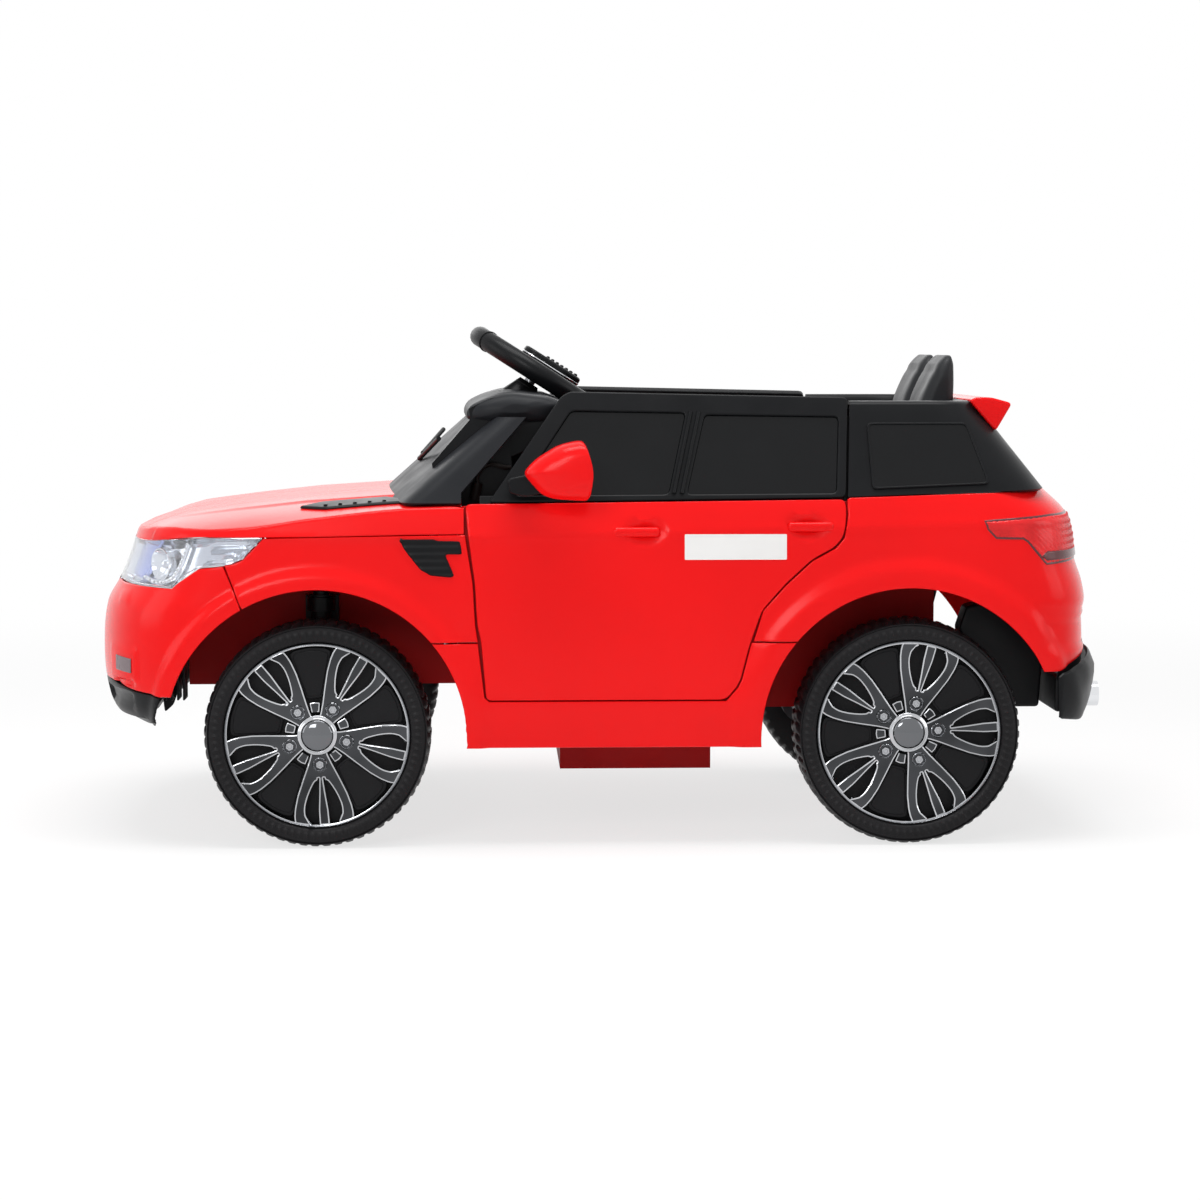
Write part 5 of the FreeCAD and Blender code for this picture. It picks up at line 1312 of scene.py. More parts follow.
def canopy_shell():
    """The rear canopy: leaning sides and tail, its rounded roof edge and a return inwards."""
    rings = []
    for k in range(13):
        t = k / 12
        z = CANOPY_LOW + (CANOPY_HIGH - CANOPY_LOW) * t
        ring = []
        for n, (x, _) in enumerate(canopy_ring(z, t)):
            high = max(z, between(CANOPY_FOOT, x))
            share = (high - CANOPY_LOW) / (CANOPY_HIGH - CANOPY_LOW)
            ring.append(Vector((*canopy_ring(high, share)[n], high)))
        rings.append(ring)
    top = rings[-1]
    for rise, inset in CANOPY_EDGE:
        ring = []
        for p in top:
            side = 1 - inset / 0.2
            x = p.x if p.x < 0.27 else 0.27 + (p.x - 0.27) * (1 - inset / 0.12)
            ring.append(Vector((x, p.y * side, p.z + rise)))
        rings.append(ring)
    for ring in rings:
        ring += [Vector((p.x, -p.y, p.z)) for p in reversed(ring[:-1])]
    bm = loft(rings, closed=False, caps=False)
    bm.normal_update()
    low = min(bm.faces, key=lambda f: f.calc_center_median().y)
    if low.normal.y > 0:
        bmesh.ops.reverse_faces(bm, faces=bm.faces[:])
    bmesh.ops.solidify(bm, geom=bm.faces[:], thickness=0.0035)
    bmesh.ops.recalc_face_normals(bm, faces=bm.faces[:])
    return bm


class CAR_OT_bonnet(bpy.types.Operator):
    """Builds the bonnet with its raised middle and its two vents"""

    bl_idname = "car.bonnet"
    bl_label = "Bonnet"

    def execute(self, context):
        place("bonnet", bonnet_shell(), "body red", "body", ["bonnet"], sharp=50)
        vent = panel(smooth_loop(BONNET_VENT), step=0.006, wall=0.0025, proud=0.0028, edge=0.0016, drop=0.002,
                     form=bonnet_top)
        for n in range(VENT_SLATS):
            x = -0.285 + 0.074 * (n + 0.5) / VENT_SLATS
            spot = Matrix.Translation(bonnet_top(x, -0.2035, lift=0.0018))
            joined(vent, rounded_box((0.004, 0.024, 0.003), spot, edge=0.0012))
        place("bonnet_vents", both_sides(vent), "satin black", "body", ["bonnet_vents"])
        return {"FINISHED"}


class CAR_OT_glass(bpy.types.Operator):
    """Builds the windscreen, the dashboard's hood, the window frames, the rear canopy and the spoiler"""

    bl_idname = "car.glass"
    bl_label = "Windscreen, frames and canopy"

    def execute(self, context):
        # Windscreen and visor take the lightened black: painted sheen
        place("windscreen", screen_shell(), "sheen screen grey", "body", ["windscreen"], sharp=50)
        place("visor", visor_hood(), "sheen screen grey", "body", sharp=50)
        glazing = [smooth_loop(p, radius=0.005) for p in (FRONT_PANE, REAR_PANE)]
        holes = [list(reversed(loop)) for loop in glazing]
        frame_plate = plate([smooth_loop(FRAME, radius=0.006)] + holes, thick=0.0095, edge=0.0016,
                            at=lean_frame(-0.0042))
        for low, top in FRAME_BARS:
            foot, head = (lean_frame(0.0012) @ Vector((*p, 0)) for p in (low, top))
            bar = [foot, foot.lerp(head, 0.33), foot.lerp(head, 0.67), head]
            joined(frame_plate, tube(bar, radius=0.0022))
        joined(frame_plate, plate([FRAME_FOOT], thick=0.004, edge=0.0008, at=lean_frame(-0.0085)))
        panes = bmesh.new()
        for loop in glazing:
            joined(panes, plate([loop], thick=0.004, edge=0.0006, at=lean_frame(-0.0042)))
        for hand, turn in HAND_TURNS:
            door, node = "door_" + hand, "window_frame_" + hand
            place(node, turn(frame_plate.copy()), "satin black", door, [node])
            place("window_panes_" + hand, turn(panes.copy()), "pane black", door)
        canopy = canopy_shell()
        joined(canopy, both_sides(plate([CANOPY_FRONT], thick=0.002, edge=0.0005, at=lean_frame(-0.0118))))
        place("rear_canopy", canopy, "satin black", "body", ["rear_canopy"], sharp=50)
        ring = smooth_loop(QUARTER_PANE, radius=0.005)
        pane = plate([ring], thick=0.003, edge=0.0006, at=lean_frame(-0.0002))
        place("quarter_panes", both_sides(pane), "pane black", "body")
        mid_x, mid_z = QUARTER_MIDDLE
        hole = [((x - mid_x) * 0.965 + mid_x, (z - mid_z) * 0.945 + mid_z) for x, z in reversed(ring)]
        bead = plate([ring, hole], thick=0.004, edge=0.0006, at=lean_frame(0.0006))
        place("quarter_beads", both_sides(bead), "satin black", "body")
        wing = smooth_loop(SPOILER, radius=0.005, steps=4)
        wing = plate([wing], thick=0.404, edge=0.0022, at=side_frame(0), steps=3)
        place("spoiler", wing, "body red", "body", ["spoiler"])
        return {"FINISHED"}


# Lamps and small trim on the skin

BLUE_GLASS = [
    (-0.5545, 0.306), (-0.5545, 0.271), (-0.4745, 0.271), (-0.4645, 0.276), (-0.4535, 0.306),
]
LAMP_STRIP = [
    (-0.4675, 0.272), (-0.4565, 0.2685), (-0.4435, 0.2685), (-0.4335, 0.274), (-0.4265, 0.285),
    (-0.4215, 0.298), (-0.4185, 0.307),
]
FOG = [(-0.4895, 0.191), (-0.472, 0.189), (-0.472, 0.1745), (-0.4895, 0.176)]
TAIL_STRIP = [
    (0.4425, 0.292), (0.4485, 0.2875), (0.5655, 0.289), (0.5655, 0.297), (0.4485, 0.297),
]
MIRROR = [
    (-0.0795, 0.378), (-0.0665, 0.392), (-0.0445, 0.4055), (-0.0285, 0.4095), (-0.0195, 0.41),
    (-0.0145, 0.401), (-0.0115, 0.386), (-0.0095, 0.37), (-0.0115, 0.357), (-0.0155, 0.35), (-0.0475, 0.352),
    (-0.0605, 0.356), (-0.0705, 0.367),
]
MIRROR_ARM = [
    (-0.0945, 0.372), (-0.0565, 0.38), (-0.0565, 0.358), (-0.0765, 0.354), (-0.0925, 0.358),
]
LAMP_MIDDLE = (-0.4465, 0.2875)
LAMP_DISH = [
    (0, 0.0012), (0.006, 0.0016), (0.0115, 0.0042), (0.0145, 0.0078), (0.0152, 0.0086), (0.0164, 0.0086),
    (0.0168, 0.0078), (0.0168, 0), (0, 0),
]
LAMP_BULB = [(0, 0.0075), (0.0025, 0.007), (0.0042, 0.005), (0.0046, 0.001), (0, 0.001)]
LAMP_BEAD = [(0, 0.0016), (0.0009, 0.0013), (0.0014, 0.0006), (0.0015, 0), (0, 0)]
LAMP_BEAD_PITCH = 0.0042
GRILLE_HALF = 0.1068
GRILLE_LOW = 0.2628
GRILLE_HIGH = 0.3018
GRILLE_MIDDLE = 0.283
GRILLE_CELL = (0.0178, 0.0098, 0.006)
WEDGE_RIDGE = (0.0068, 0.0016)
PRISM = (0.0066, 0.0008)
LOUVRE = (0.0072, 0.0011)
# Share of a mirror's depth, and its outline's size there
MIRROR_RINGS = (
    (0, 0.84), (0.06, 0.93), (0.16, 0.985), (0.3, 1.0), (0.48, 0.995), (0.64, 0.965), (0.78, 0.9),
    (0.88, 0.805), (0.95, 0.66), (0.985, 0.47), (1.0, 0.22),
)
MIRROR_MIDDLE = (-0.0105, 0.381)
MIRROR_INNER_Y = -0.266
MIRROR_DEPTH = 0.0425
LABEL = [(0.0828, 0.3154), (0.1852, 0.3154), (0.1852, 0.29), (0.0828, 0.29)]


def lamp_bowl(a, z):
    """Ridges in the headlamp's rear wedge."""
    pitch, height = WEDGE_RIDGE
    return height * ease(a, -0.432, -0.418) * math.cos(math.tau * z / pitch)


def prisms(a, z):
    """Rows of small prisms on the tail lamp's lens."""
    pitch, height = PRISM
    return height * math.cos(math.tau * a / pitch) * math.cos(math.tau * z / pitch)


def grille_cells(a, z):
    """Rows of recessed cells in the grille."""
    wide, high, deep = GRILLE_CELL
    u, v = ((a - WRAP_FRONT) / wide) % 1, ((z - GRILLE_LOW) / high) % 1
    return -deep * ease(min(u, 1 - u), 0.07, 0.15) * ease(min(v, 1 - v), 0.1, 0.24)


def louvres(a, z):
    """The fender vent's ridged face."""
    pitch, height = LOUVRE
    return height * abs(((z / pitch) % 1) * 2 - 1)


def edge_path(points, offset):
    """An open outline moved sideways."""
    made = []
    for n, here in enumerate(points):
        before, after = Vector(points[max(n - 1, 0)]), Vector(points[min(n + 1, len(points) - 1)])
        way = (after - before).normalized()
        made.append((here[0] - way.y * offset, here[1] + way.x * offset))
    return made


def grown(points, offset):
    """A closed outline moved outwards."""
    area = sum(a[0] * b[1] - b[0] * a[1] for a, b in zip(points, points[1:] + points[:1]))
    made = []
    for n, here in enumerate(points):
        way = (Vector(points[(n + 1) % len(points)]) - Vector(points[n - 1])).normalized()
        side = offset if area > 0 else -offset
        made.append((here[0] + way.y * side, here[1] - way.x * side))
    return made


def on_skin(x, z, lift):
    """A point over the skin's left side, from its place in the side view."""
    return skin(along_of(x, z), z, lift)


def skin_frame(x, z, lift):
    """A frame on the skin's left side: X along it, Y up, Z outwards."""
    at = on_skin(x, z, lift)
    along = (on_skin(x + 0.002, z, lift) - on_skin(x - 0.002, z, lift)).normalized()
    up = Vector((0, 0, 1))
    out = along.cross(up).normalized()
    up = out.cross(along)
    return Matrix((*zip(along, up, out, at), (0, 0, 0, 1)))


class CAR_OT_lamps(bpy.types.Operator):
    """Builds the headlamps, the grille, the fog reflectors and the tail lamps"""

    bl_idname = "car.lamps"
    bl_label = "Lamps"

    def execute(self, context):
        outline = girth(LAMP, front_y=0.1085)
        lens = panel(outline, step=0.007, wall=0.0016, proud=0.0004, edge=0.0012, drop=0.0012)
        place("headlamp_lenses", both_sides(lens), "lens clear", "body", ["headlamps"])
        bowl = panel(outline, step=0.0028, wall=0.001, proud=-0.0145, edge=0.0045, drop=-0.0115,
                     shape=lamp_bowl)
        place("headlamp_bowls", both_sides(bowl), "lamp silver", "body", ["headlamp_bowls"])
        blue = panel(girth(BLUE_GLASS, front_y=0.112), step=0.006, wall=0.001, proud=-0.0095, edge=0.002,
                     drop=0.002)
        place("headlamp_blues", both_sides(blue), "lamp blue", "body")
        rim = skin_frame(*LAMP_MIDDLE, lift=-0.0128)
        dish = turned(LAMP_DISH, rim, steps=40)
        joined(dish, turned(LAMP_BULB, rim, steps=20))
        joined(dish, tube([on_skin(x, z, lift=-0.0095) for x, z in LAMP_STRIP], radius=0.0026))
        place("headlamp_reflectors", both_sides(dish), "bright chrome", "body")
        beads = bmesh.new()
        for x, z in dense(LAMP_STRIP, LAMP_BEAD_PITCH, closed=False):
            joined(beads, turned(LAMP_BEAD, skin_frame(x, z, lift=-0.0072), steps=10))
        place("headlamp_beads", both_sides(beads), "bare white", "body")
        left = SIDE_FRONT - look_up(FRONT_TABLE, 2, GRILLE_HALF / level_at(GRILLE_MIDDLE)[2], 0)
        right = 2 * WRAP_FRONT - left
        corners = [(left, GRILLE_HIGH), (left, GRILLE_LOW), (right, GRILLE_LOW), (right, GRILLE_HIGH)]
        mesh = panel(dense(corners), step=0.0021, wall=0.002, proud=-0.0012, edge=0.0012, drop=0.0014,
                     shape=grille_cells)
        place("grille", mesh, "satin black", "body", ["grille"])
        outline = dense([(along_of(x, z), z) for x, z in FOG], FINE_GRID)
        fog = panel(outline, FINE_GRID, wall=0.002, proud=0.0032, edge=0.0012, drop=0.001)
        place("fog_reflectors", both_sides(fog), "lamp grey", "body", ["fog_lamps"])
        outline = girth(TAIL_LAMP, rear_y=0.1505)
        seal = panel(grown(outline, 0.0017), step=0.006, wall=0.001, proud=0.0006, edge=0.0006, drop=0.0004)
        place("tail_lamp_seals", both_sides(seal), "strip red", "body")
        glass = panel(outline, step=0.0022, wall=0.002, proud=0.0013, edge=0.0012, drop=0.0016, shape=prisms)
        place("tail_lamp_lenses", both_sides(glass), "lamp red", "body", ["tail_lamps"])
        low = panel(girth(TAIL_STRIP, rear_y=0.1525), FINE_GRID, wall=0.001, proud=0.0023, edge=0.001,
                    drop=0.0008)
        place("tail_lamp_strips", both_sides(low), "strip red", "body")
        return {"FINISHED"}


def mirror_shell():
    """A mirror housing: rounded front and outer end, flat behind."""
    loop = smooth_loop(MIRROR, radius=0.007)
    mid_x, mid_z = MIRROR_MIDDLE
    rings = []
    for share, size in MIRROR_RINGS:
        y = MIRROR_INNER_Y - MIRROR_DEPTH * share
        high = size * 0.9 + 0.1
        rings.append([Vector((mid_x + (x - mid_x) * size, y, mid_z + (z - mid_z) * high)) for x, z in loop])
    bm = loft(rings)
    bm.normal_update()
    rear = [f for f in bm.faces if f.normal.x > 0.9 and len(f.verts) == 4]
    bmesh.ops.inset_region(bm, faces=rear, thickness=0.003, depth=-0.001, use_even_offset=True)
    for f in rear:
        f.material_index = 1
    return bm


class CAR_OT_trim(bpy.types.Operator):
    """Builds the mirrors, handles, vents, door jambs and the bare label"""

    bl_idname = "car.trim"
    bl_label = "Small trim"

    def execute(self, context):
        shell = mirror_shell()
        arm = plate([smooth_loop(MIRROR_ARM)], thick=0.026, edge=0.002, at=side_frame(-0.263))
        bars = bmesh.new()
        for x, z in HANDLES:
            spot = skin_frame(x, z, lift=-0.0032)
            joined(bars, rounded_box((0.0465, 0.0098, 0.009), spot, edge=0.0036, steps=4))
        for hand, turn in HAND_TURNS:
            door, node = "door_" + hand, "mirror_" + hand
            place(node, turn(shell.copy()), "body red", door, [node], sharp=50, second="bright chrome")
            place("mirror_arm_" + hand, turn(arm.copy()), "satin black", door)
            place("handles_" + hand, turn(bars.copy()), "body red", door)
        label = girth(smooth_loop(LABEL, radius=0.001))
        label = panel(label, step=0.008, wall=0.0003, proud=0.0004, edge=0.0004, drop=0.0002)
        place("door_label", label, "bare white", "door_left")
        vent = girth(smooth_loop(FENDER_VENT, radius=0.0025))
        vent = panel(vent, step=0.0018, wall=0.002, proud=0.0012, edge=0.0012, drop=0.0016, shape=louvres)
        place("fender_vents", both_sides(vent), "satin black", "body", ["fender_vents"])
        outline = girth(edge_path(DOOR, -0.006) + list(reversed(edge_path(DOOR, 0.011))))
        jamb = panel(outline, step=0.012, wall=0.002, proud=-0.0068, edge=0.0008, drop=0.0004)
        # The jamb takes the darkened red: painted shade in the door gap
        place("door_jambs", both_sides(jamb), "shaded jamb red", "body")
        return {"FINISHED"}


# Cabin

STEER = Matrix(((0.8434, 0, 0.5373, -0.0615), (0, 1, 0, 0), (-0.5373, 0, 0.8434, 0.475), (0, 0, 0, 1)))
STEER_RADIUS = 0.071
GRIP_RADIUS = 0.0108
GRIP_STEPS = 18
GRIP_BAND = [(0.0106, -0.001), (0.0116, -0.0006), (0.0116, 0.0006), (0.0106, 0.001)]
GRIP_BAND_ANGLES = (-32, 32, 148, 212)
STEER_SPOKE_ANGLES = (0, 100, -100)
STEER_HUB = [
    (0, -0.0095), (0.02, -0.0095), (0.031, -0.007), (0.034, -0.002), (0.034, 0.004), (0.0325, 0.0068),
    (0.0275, 0.0078), (0.0262, 0.0072), (0.026, 0.001), (0, 0.001),
]
HORN_FACE = [
    (-0.024, -0.02), (-0.016, -0.03), (0.03, -0.033), (0.045, -0.022), (0.045, 0.022), (0.03, 0.033),
    (-0.016, 0.03), (-0.024, 0.02),
]
HORN_NUB = [(0, 0.0024), (0.0012, 0.002), (0.0018, 0.001), (0.002, 0), (0, 0)]
HORN_NUB_PITCH = (0.0058, 0.0085)
BOOT_LOW = -0.05
BOOT_TOP = -0.0148
BOOT_FOLDS = 7
INNER_PILLAR = [
    (-0.1225, 0.396), (-0.0945, 0.428), (-0.0645, 0.441), (-0.0345, 0.447), (-0.0525, 0.408), (-0.0905, 0.39),
]
SEAT_BACK = [
    (0.335, 0.4), (0.3375, 0.436), (0.3415, 0.4515), (0.3505, 0.472), (0.361, 0.487), (0.3685, 0.4936),
    (0.374, 0.4932), (0.3764, 0.486), (0.377, 0.466), (0.3758, 0.43), (0.372, 0.4),
]
SEAT_BACK_LOW = 0.4
SEAT_BACK_HIGH = 0.0938
SEAT_BACK_X = 0.3585
SEAT_BACK_HALF = 0.0535
SEAT_BACK_Y = 0.0635
SEAT_PAD_Y = 0.066
SEAT = [
    (0.1175, 0.208), (0.1295, 0.232), (0.2955, 0.22), (0.3175, 0.236), (0.3345, 0.3), (0.3435, 0.43),
    (0.3735, 0.43), (0.3675, 0.3), (0.3515, 0.235), (0.3375, 0.196), (0.1235, 0.196),
]


def hump(mid_y, half):
    """One seat back: its side profile, lofted across with rounded shoulders."""
    loop = smooth_loop(SEAT_BACK, radius=0.007)
    rings = []
    for n in range(17):
        s = -1 + n / 8
        tip = max(abs(s) - 0.62, 0) / 0.38
        bend = math.sqrt(max(1 - tip * tip, 0))
        ring = []
        for x, z in loop:
            share = max((z - SEAT_BACK_LOW) / SEAT_BACK_HIGH, 0)
            dish = 0.004 * (1 - s * s) if x < 0.358 else 0
            x = SEAT_BACK_X + (x - SEAT_BACK_X) * (0.45 + 0.55 * bend)
            z = SEAT_BACK_LOW + (z - SEAT_BACK_LOW) * (0.72 + 0.28 * bend)
            ring.append(Vector((x + dish * share, mid_y + s * half, z)))
        rings.append(ring)
    return loft(rings)


def about(turn):
    """A turn about the steering wheel's own axis, in degrees."""
    return Matrix.Rotation(math.radians(turn), 4, "Z")


class CAR_OT_steering(bpy.types.Operator):
    """Builds the steering wheel, its horn pad and the column's boot"""

    bl_idname = "car.steering"
    bl_label = "Steering wheel"

    def execute(self, context):
        ring = [(STEER_RADIUS + GRIP_RADIUS * math.cos(math.tau * n / GRIP_STEPS),
                 GRIP_RADIUS * math.sin(math.tau * n / GRIP_STEPS)) for n in range(GRIP_STEPS)]
        wheel = turned(ring, STEER, steps=72)
        across = Matrix.Translation((STEER_RADIUS, 0, 0)) @ Matrix.Rotation(math.pi / 2, 4, "X")
        for turn in GRIP_BAND_ANGLES:
            joined(wheel, turned(GRIP_BAND, STEER @ about(turn) @ across, steps=24))
        joined(wheel, turned(STEER_HUB, STEER))
        for turn in STEER_SPOKE_ANGLES:
            spot = STEER @ (about(turn) @ Matrix.Translation((0.0505, 0, -0.001)))
            joined(wheel, rounded_box((0.036, 0.024, 0.0085), spot, edge=0.003, steps=3))
        place("steering_wheel", wheel, "satin black", "steering", ["steering_wheel"])
        face = smooth_loop(HORN_FACE, radius=0.008, steps=4)
        pad = plate([face], thick=0.013, edge=0.003, at=STEER @ Matrix.Translation((0, 0, 0.0131)), steps=3)
        row_pitch, column_pitch = HORN_NUB_PITCH
        for row in range(7):
            for column in range(-2, 3):
                spot = Matrix.Translation((0.003 + row_pitch * row, column_pitch * column, 0.0194))
                joined(pad, turned(HORN_NUB, STEER @ spot, steps=10))
        place("horn_pad", pad, "satin black", "horn", ["horn_pad"])
        rim = smooth_loop([(x * 1.012, y * 1.012) for x, y in HORN_FACE], radius=0.008, steps=4)
        line = plate([rim], thick=0.0016, edge=0.0005, at=STEER @ Matrix.Translation((0, 0, 0.0128)))
        place("horn_line", line, "bright chrome", "horn")
        folds = [(0, BOOT_LOW), (0.0125, BOOT_LOW)]
        for n in range(BOOT_FOLDS):
            z = BOOT_LOW + 0.005 * n
            r = 0.0215 - 0.0015 * n
            folds += [(r, z), (r + 0.001, z + 0.0012), (r + 0.001, z + 0.0024), (r - 0.0012, z + 0.0036)]
        folds += [(0.0095, BOOT_TOP), (0, BOOT_TOP)]
        place("column_boot", turned(folds, STEER, steps=36), "grained black", "body")
        return {"FINISHED"}


class CAR_OT_cabin(bpy.types.Operator):
    """Builds the seat with its backs and pads, the inner pillar faces and the wheel boxes' walls"""

    bl_idname = "car.cabin"
    bl_label = "Cabin"

    def execute(self, context):
        seat = plate([smooth_loop(SEAT, radius=0.006)], thick=0.291, edge=0.003, at=side_frame(0))
        for mid in (-SEAT_BACK_Y, SEAT_BACK_Y):
            joined(seat, hump(mid, SEAT_BACK_HALF))
        # Seat and pads take the lightened black: painted sheen
        place("seat", seat, "sheen seat black", "body", ["seat"], sharp=60)
        pads = bmesh.new()
        for mid in (-SEAT_PAD_Y, SEAT_PAD_Y):
            for n in range(5):
                spot = Matrix.Translation((0.146 + 0.031 * n, mid, 0.2335 - 0.0024 * n))
                joined(pads, rounded_box((0.0275, 0.112, 0.009), spot, edge=0.0038, steps=3))
            for n in range(4):
                spot = Matrix.Translation((0.3312 + 0.0026 * n, mid, 0.268 + 0.037 * n))
                joined(pads, rounded_box((0.009, 0.104, 0.033), spot, edge=0.0038, steps=3))
        place("seat_pads", pads, "sheen seat black", "body")
        outline = smooth_loop(INNER_PILLAR, radius=0.003)
        inner = plate([outline], thick=0.003, edge=0.0006, at=side_frame(-0.1925))
        place("inner_pillars", both_sides(inner), "satin black", "body")
        slope = Matrix.Translation((0.1636, -0.186, 0.2318)) @ Matrix.Rotation(math.radians(16.4), 4, "Y")
        wall = rounded_box((0.003, 0.072, 0.079), slope, edge=0.001)
        upright = Matrix.Translation((-0.1465, -0.1755, 0.248))
        joined(wall, rounded_box((0.003, 0.122, 0.14), upright, edge=0.001))
        # The walls take the darkened red: painted shade inside the wheel boxes
        place("wheel_box_walls", both_sides(wall), "shaded inner red", "body")
        return {"FINISHED"}


class CAR_OT_stage(bpy.types.Operator):
    """Sets the floor, the soft light, the pale surround and the camera"""

    bl_idname = "car.stage"
    bl_label = "Stage"

    def execute(self, context):
        scene = context.scene
        bm = bmesh.new()
        bmesh.ops.create_grid(bm, x_segments=8, y_segments=8, size=FLOOR_HALF)
        mesh = bpy.data.meshes.new("floor")
        bm.to_mesh(mesh)
        bm.free()
        floor = bpy.data.objects.new("floor", mesh)
        scene.collection.objects.link(floor)
        mesh.materials.append(floor_finish())
        world = bpy.data.worlds.new("surround")
        scene.world = world
        world.use_nodes = True
        tree = world.node_tree
        seen = seen_ray(tree)
        back = tree.nodes["Background"]
        back.inputs["Color"].default_value = (1, 1, 1, 1)
        back.inputs["Strength"].default_value = SURROUND_STRENGTH
        white = tree.nodes.new("ShaderNodeBackground")
        white.inputs["Color"].default_value = (1, 1, 1, 1)
        mix = tree.nodes.new("ShaderNodeMixShader")
        tree.links.new(seen, mix.inputs["Fac"])
        tree.links.new(back.outputs["Background"], mix.inputs[1])
        tree.links.new(white.outputs["Background"], mix.inputs[2])
        tree.links.new(mix.outputs["Shader"], tree.nodes["World Output"].inputs["Surface"])
        for name, at, aim, size, power in SOFTBOXES:
            lamp = bpy.data.lights.new(name, "AREA")
            lamp.shape = "RECTANGLE"
            lamp.size, lamp.size_y = size
            lamp.energy = power
            holder = bpy.data.objects.new(name, lamp)
            scene.collection.objects.link(holder)
            holder.location = at
            holder.rotation_euler = (Vector(aim) - Vector(at)).to_track_quat("-Z", "Y").to_euler()
        camera = bpy.data.objects.new("camera", bpy.data.cameras.new("camera"))
        scene.collection.objects.link(camera)
        camera.location = CAMERA_AT
        way = Vector(CAMERA_AIM) - camera.location
        camera.rotation_euler = way.to_track_quat("-Z", "Y").to_euler()
        camera.data.lens = CAMERA_LENS
        camera.data.sensor_width = CAMERA_SENSOR
        scene.camera = camera
        scene.view_settings.view_transform = "Standard"
        return {"FINISHED"}


FLOOR_HALF = 14
SURROUND_STRENGTH = 0.4
CAMERA_AT = (-0.1145, -3.202, 0.505)
CAMERA_AIM = (-0.002, -0.262, 0.250)
CAMERA_LENS = 88.6
CAMERA_SENSOR = 36
# Each softbox: its place, aim, size and power
SOFTBOXES = (
    ("top_softbox", (0.0, -0.4, 2.6), (0.0, 0.0, 0.2), (2.0, 1.3), 54),
    ("side_softbox", (-1.2, -2.9, 1.5), (0.0, 0.0, 0.25), (1.2, 0.9), 25),
    ("nose_softbox", (-2.6, -0.6, 1.0), (0.0, 0.0, 0.25), (1.4, 1.4), 11),
    ("far_softbox", (-0.5, 3.4, 1.5), (-0.2, 0.0, 0.35), (3.6, 1.2), 16),
    ("tail_softbox", (2.6, -0.8, 1.1), (0.0, 0.0, 0.25), (1.4, 1.4), 11),
)


def seen_ray(tree):
    """1 for rays from the camera, mirror rays and rays through glass."""
    path = tree.nodes.new("ShaderNodeLightPath")
    first = tree.nodes.new("ShaderNodeMath")
    first.operation = "MAXIMUM"
    second = tree.nodes.new("ShaderNodeMath")
    second.operation = "MAXIMUM"
    tree.links.new(path.outputs["Is Camera Ray"], first.inputs[0])
    tree.links.new(path.outputs["Is Glossy Ray"], first.inputs[1])
    tree.links.new(first.outputs[0], second.inputs[0])
    tree.links.new(path.outputs["Is Transmission Ray"], second.inputs[1])
    return second.outputs[0]


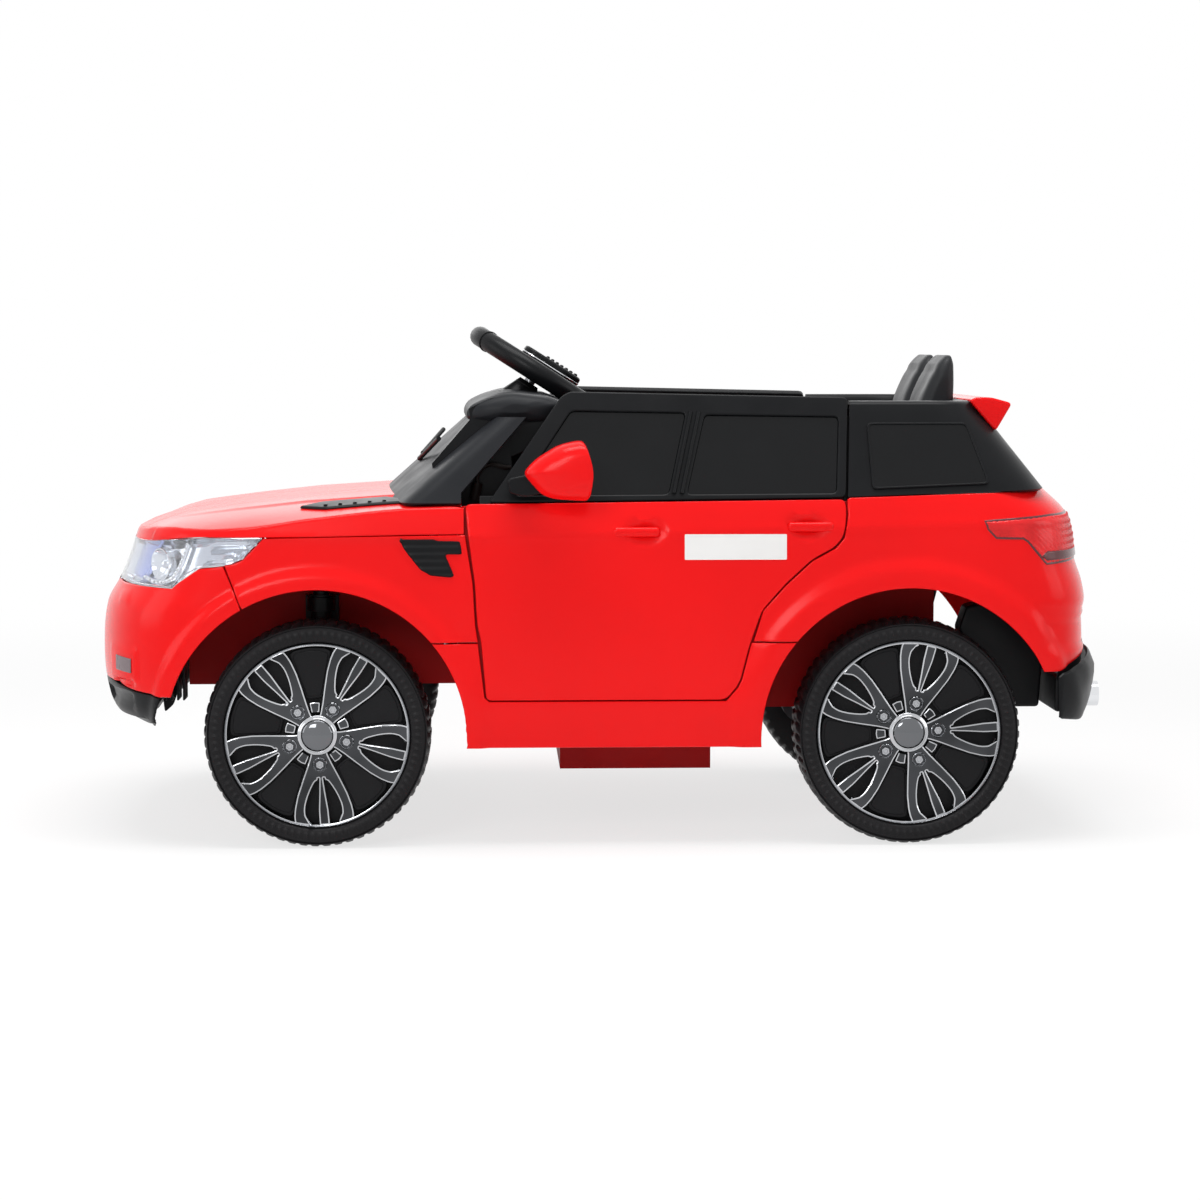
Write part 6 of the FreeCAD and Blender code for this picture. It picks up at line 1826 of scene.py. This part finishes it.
def floor_finish():
    """A pale floor that keeps a soft shadow."""
    finish, tree, shader, coords = new_finish("pale_floor")
    cloud = noise(tree, coords, 1.5, 2.0)
    tree.links.new(ramp(tree, cloud, (0.9, 0.9, 0.9), (0.92, 0.92, 0.92)), shader.inputs["Base Color"])
    shader.inputs["Roughness"].default_value = 0.9
    shader.inputs["Specular IOR Level"].default_value = 0.0
    glow = tree.nodes.new("ShaderNodeEmission")
    glow.inputs["Strength"].default_value = 1.0
    reach = tree.nodes.new("ShaderNodeVectorMath")
    reach.operation = "LENGTH"
    tree.links.new(coords, reach.inputs[0])
    share = tree.nodes.new("ShaderNodeMapRange")
    share.interpolation_type = "SMOOTHSTEP"
    share.inputs["From Min"].default_value = 0.9
    share.inputs["From Max"].default_value = 2.6
    share.inputs["To Min"].default_value = 0.72
    share.inputs["To Max"].default_value = 1.0
    tree.links.new(reach.outputs["Value"], share.inputs["Value"])
    part = tree.nodes.new("ShaderNodeMath")
    part.operation = "MULTIPLY"
    tree.links.new(share.outputs["Result"], part.inputs[1])
    tree.links.new(seen_ray(tree), part.inputs[0])
    mix = tree.nodes.new("ShaderNodeMixShader")
    tree.links.new(part.outputs[0], mix.inputs["Fac"])
    tree.links.new(shader.outputs["BSDF"], mix.inputs[1])
    tree.links.new(glow.outputs["Emission"], mix.inputs[2])
    tree.links.new(mix.outputs["Shader"], tree.nodes["Material Output"].inputs["Surface"])
    return finish


BUILDERS = (
    CAR_OT_finishes,
    CAR_OT_side_panels,
    CAR_OT_nose_and_tail,
    CAR_OT_wheels,
    CAR_OT_bonnet,
    CAR_OT_glass,
    CAR_OT_lamps,
    CAR_OT_trim,
    CAR_OT_steering,
    CAR_OT_cabin,
    CAR_OT_stage,
)


class CAR_PT_sidebar(bpy.types.Panel):
    """The car's sizes, colours and builders"""

    bl_label = "Ride-on car"
    bl_idname = "CAR_PT_sidebar"
    bl_space_type = "VIEW_3D"
    bl_region_type = "UI"
    bl_category = "Ride-on"

    def draw(self, context):
        for group in (context.scene.car_colours, context.scene.car_sizes):
            for name in group.__annotations__:
                self.layout.prop(group, name)
        for builder in BUILDERS:
            self.layout.operator(builder.bl_idname)


CLASSES = (CarColours, CarSizes, *BUILDERS, CAR_PT_sidebar)


def register():
    for cls in CLASSES:
        bpy.utils.register_class(cls)
    bpy.types.Scene.car_colours = PointerProperty(type=CarColours)
    bpy.types.Scene.car_sizes = PointerProperty(type=CarSizes)


def unregister():
    del bpy.types.Scene.car_sizes
    del bpy.types.Scene.car_colours
    for cls in reversed(CLASSES):
        bpy.utils.unregister_class(cls)


def main():
    register()
    bpy.ops.car.finishes()
    bpy.ops.car.side_panels()
    bpy.ops.car.nose_and_tail()
    bpy.ops.car.wheels()
    bpy.ops.car.bonnet()
    bpy.ops.car.glass()
    bpy.ops.car.lamps()
    bpy.ops.car.trim()
    bpy.ops.car.steering()
    bpy.ops.car.cabin()
    bpy.ops.car.stage()


if __name__ == "__main__":
    main()
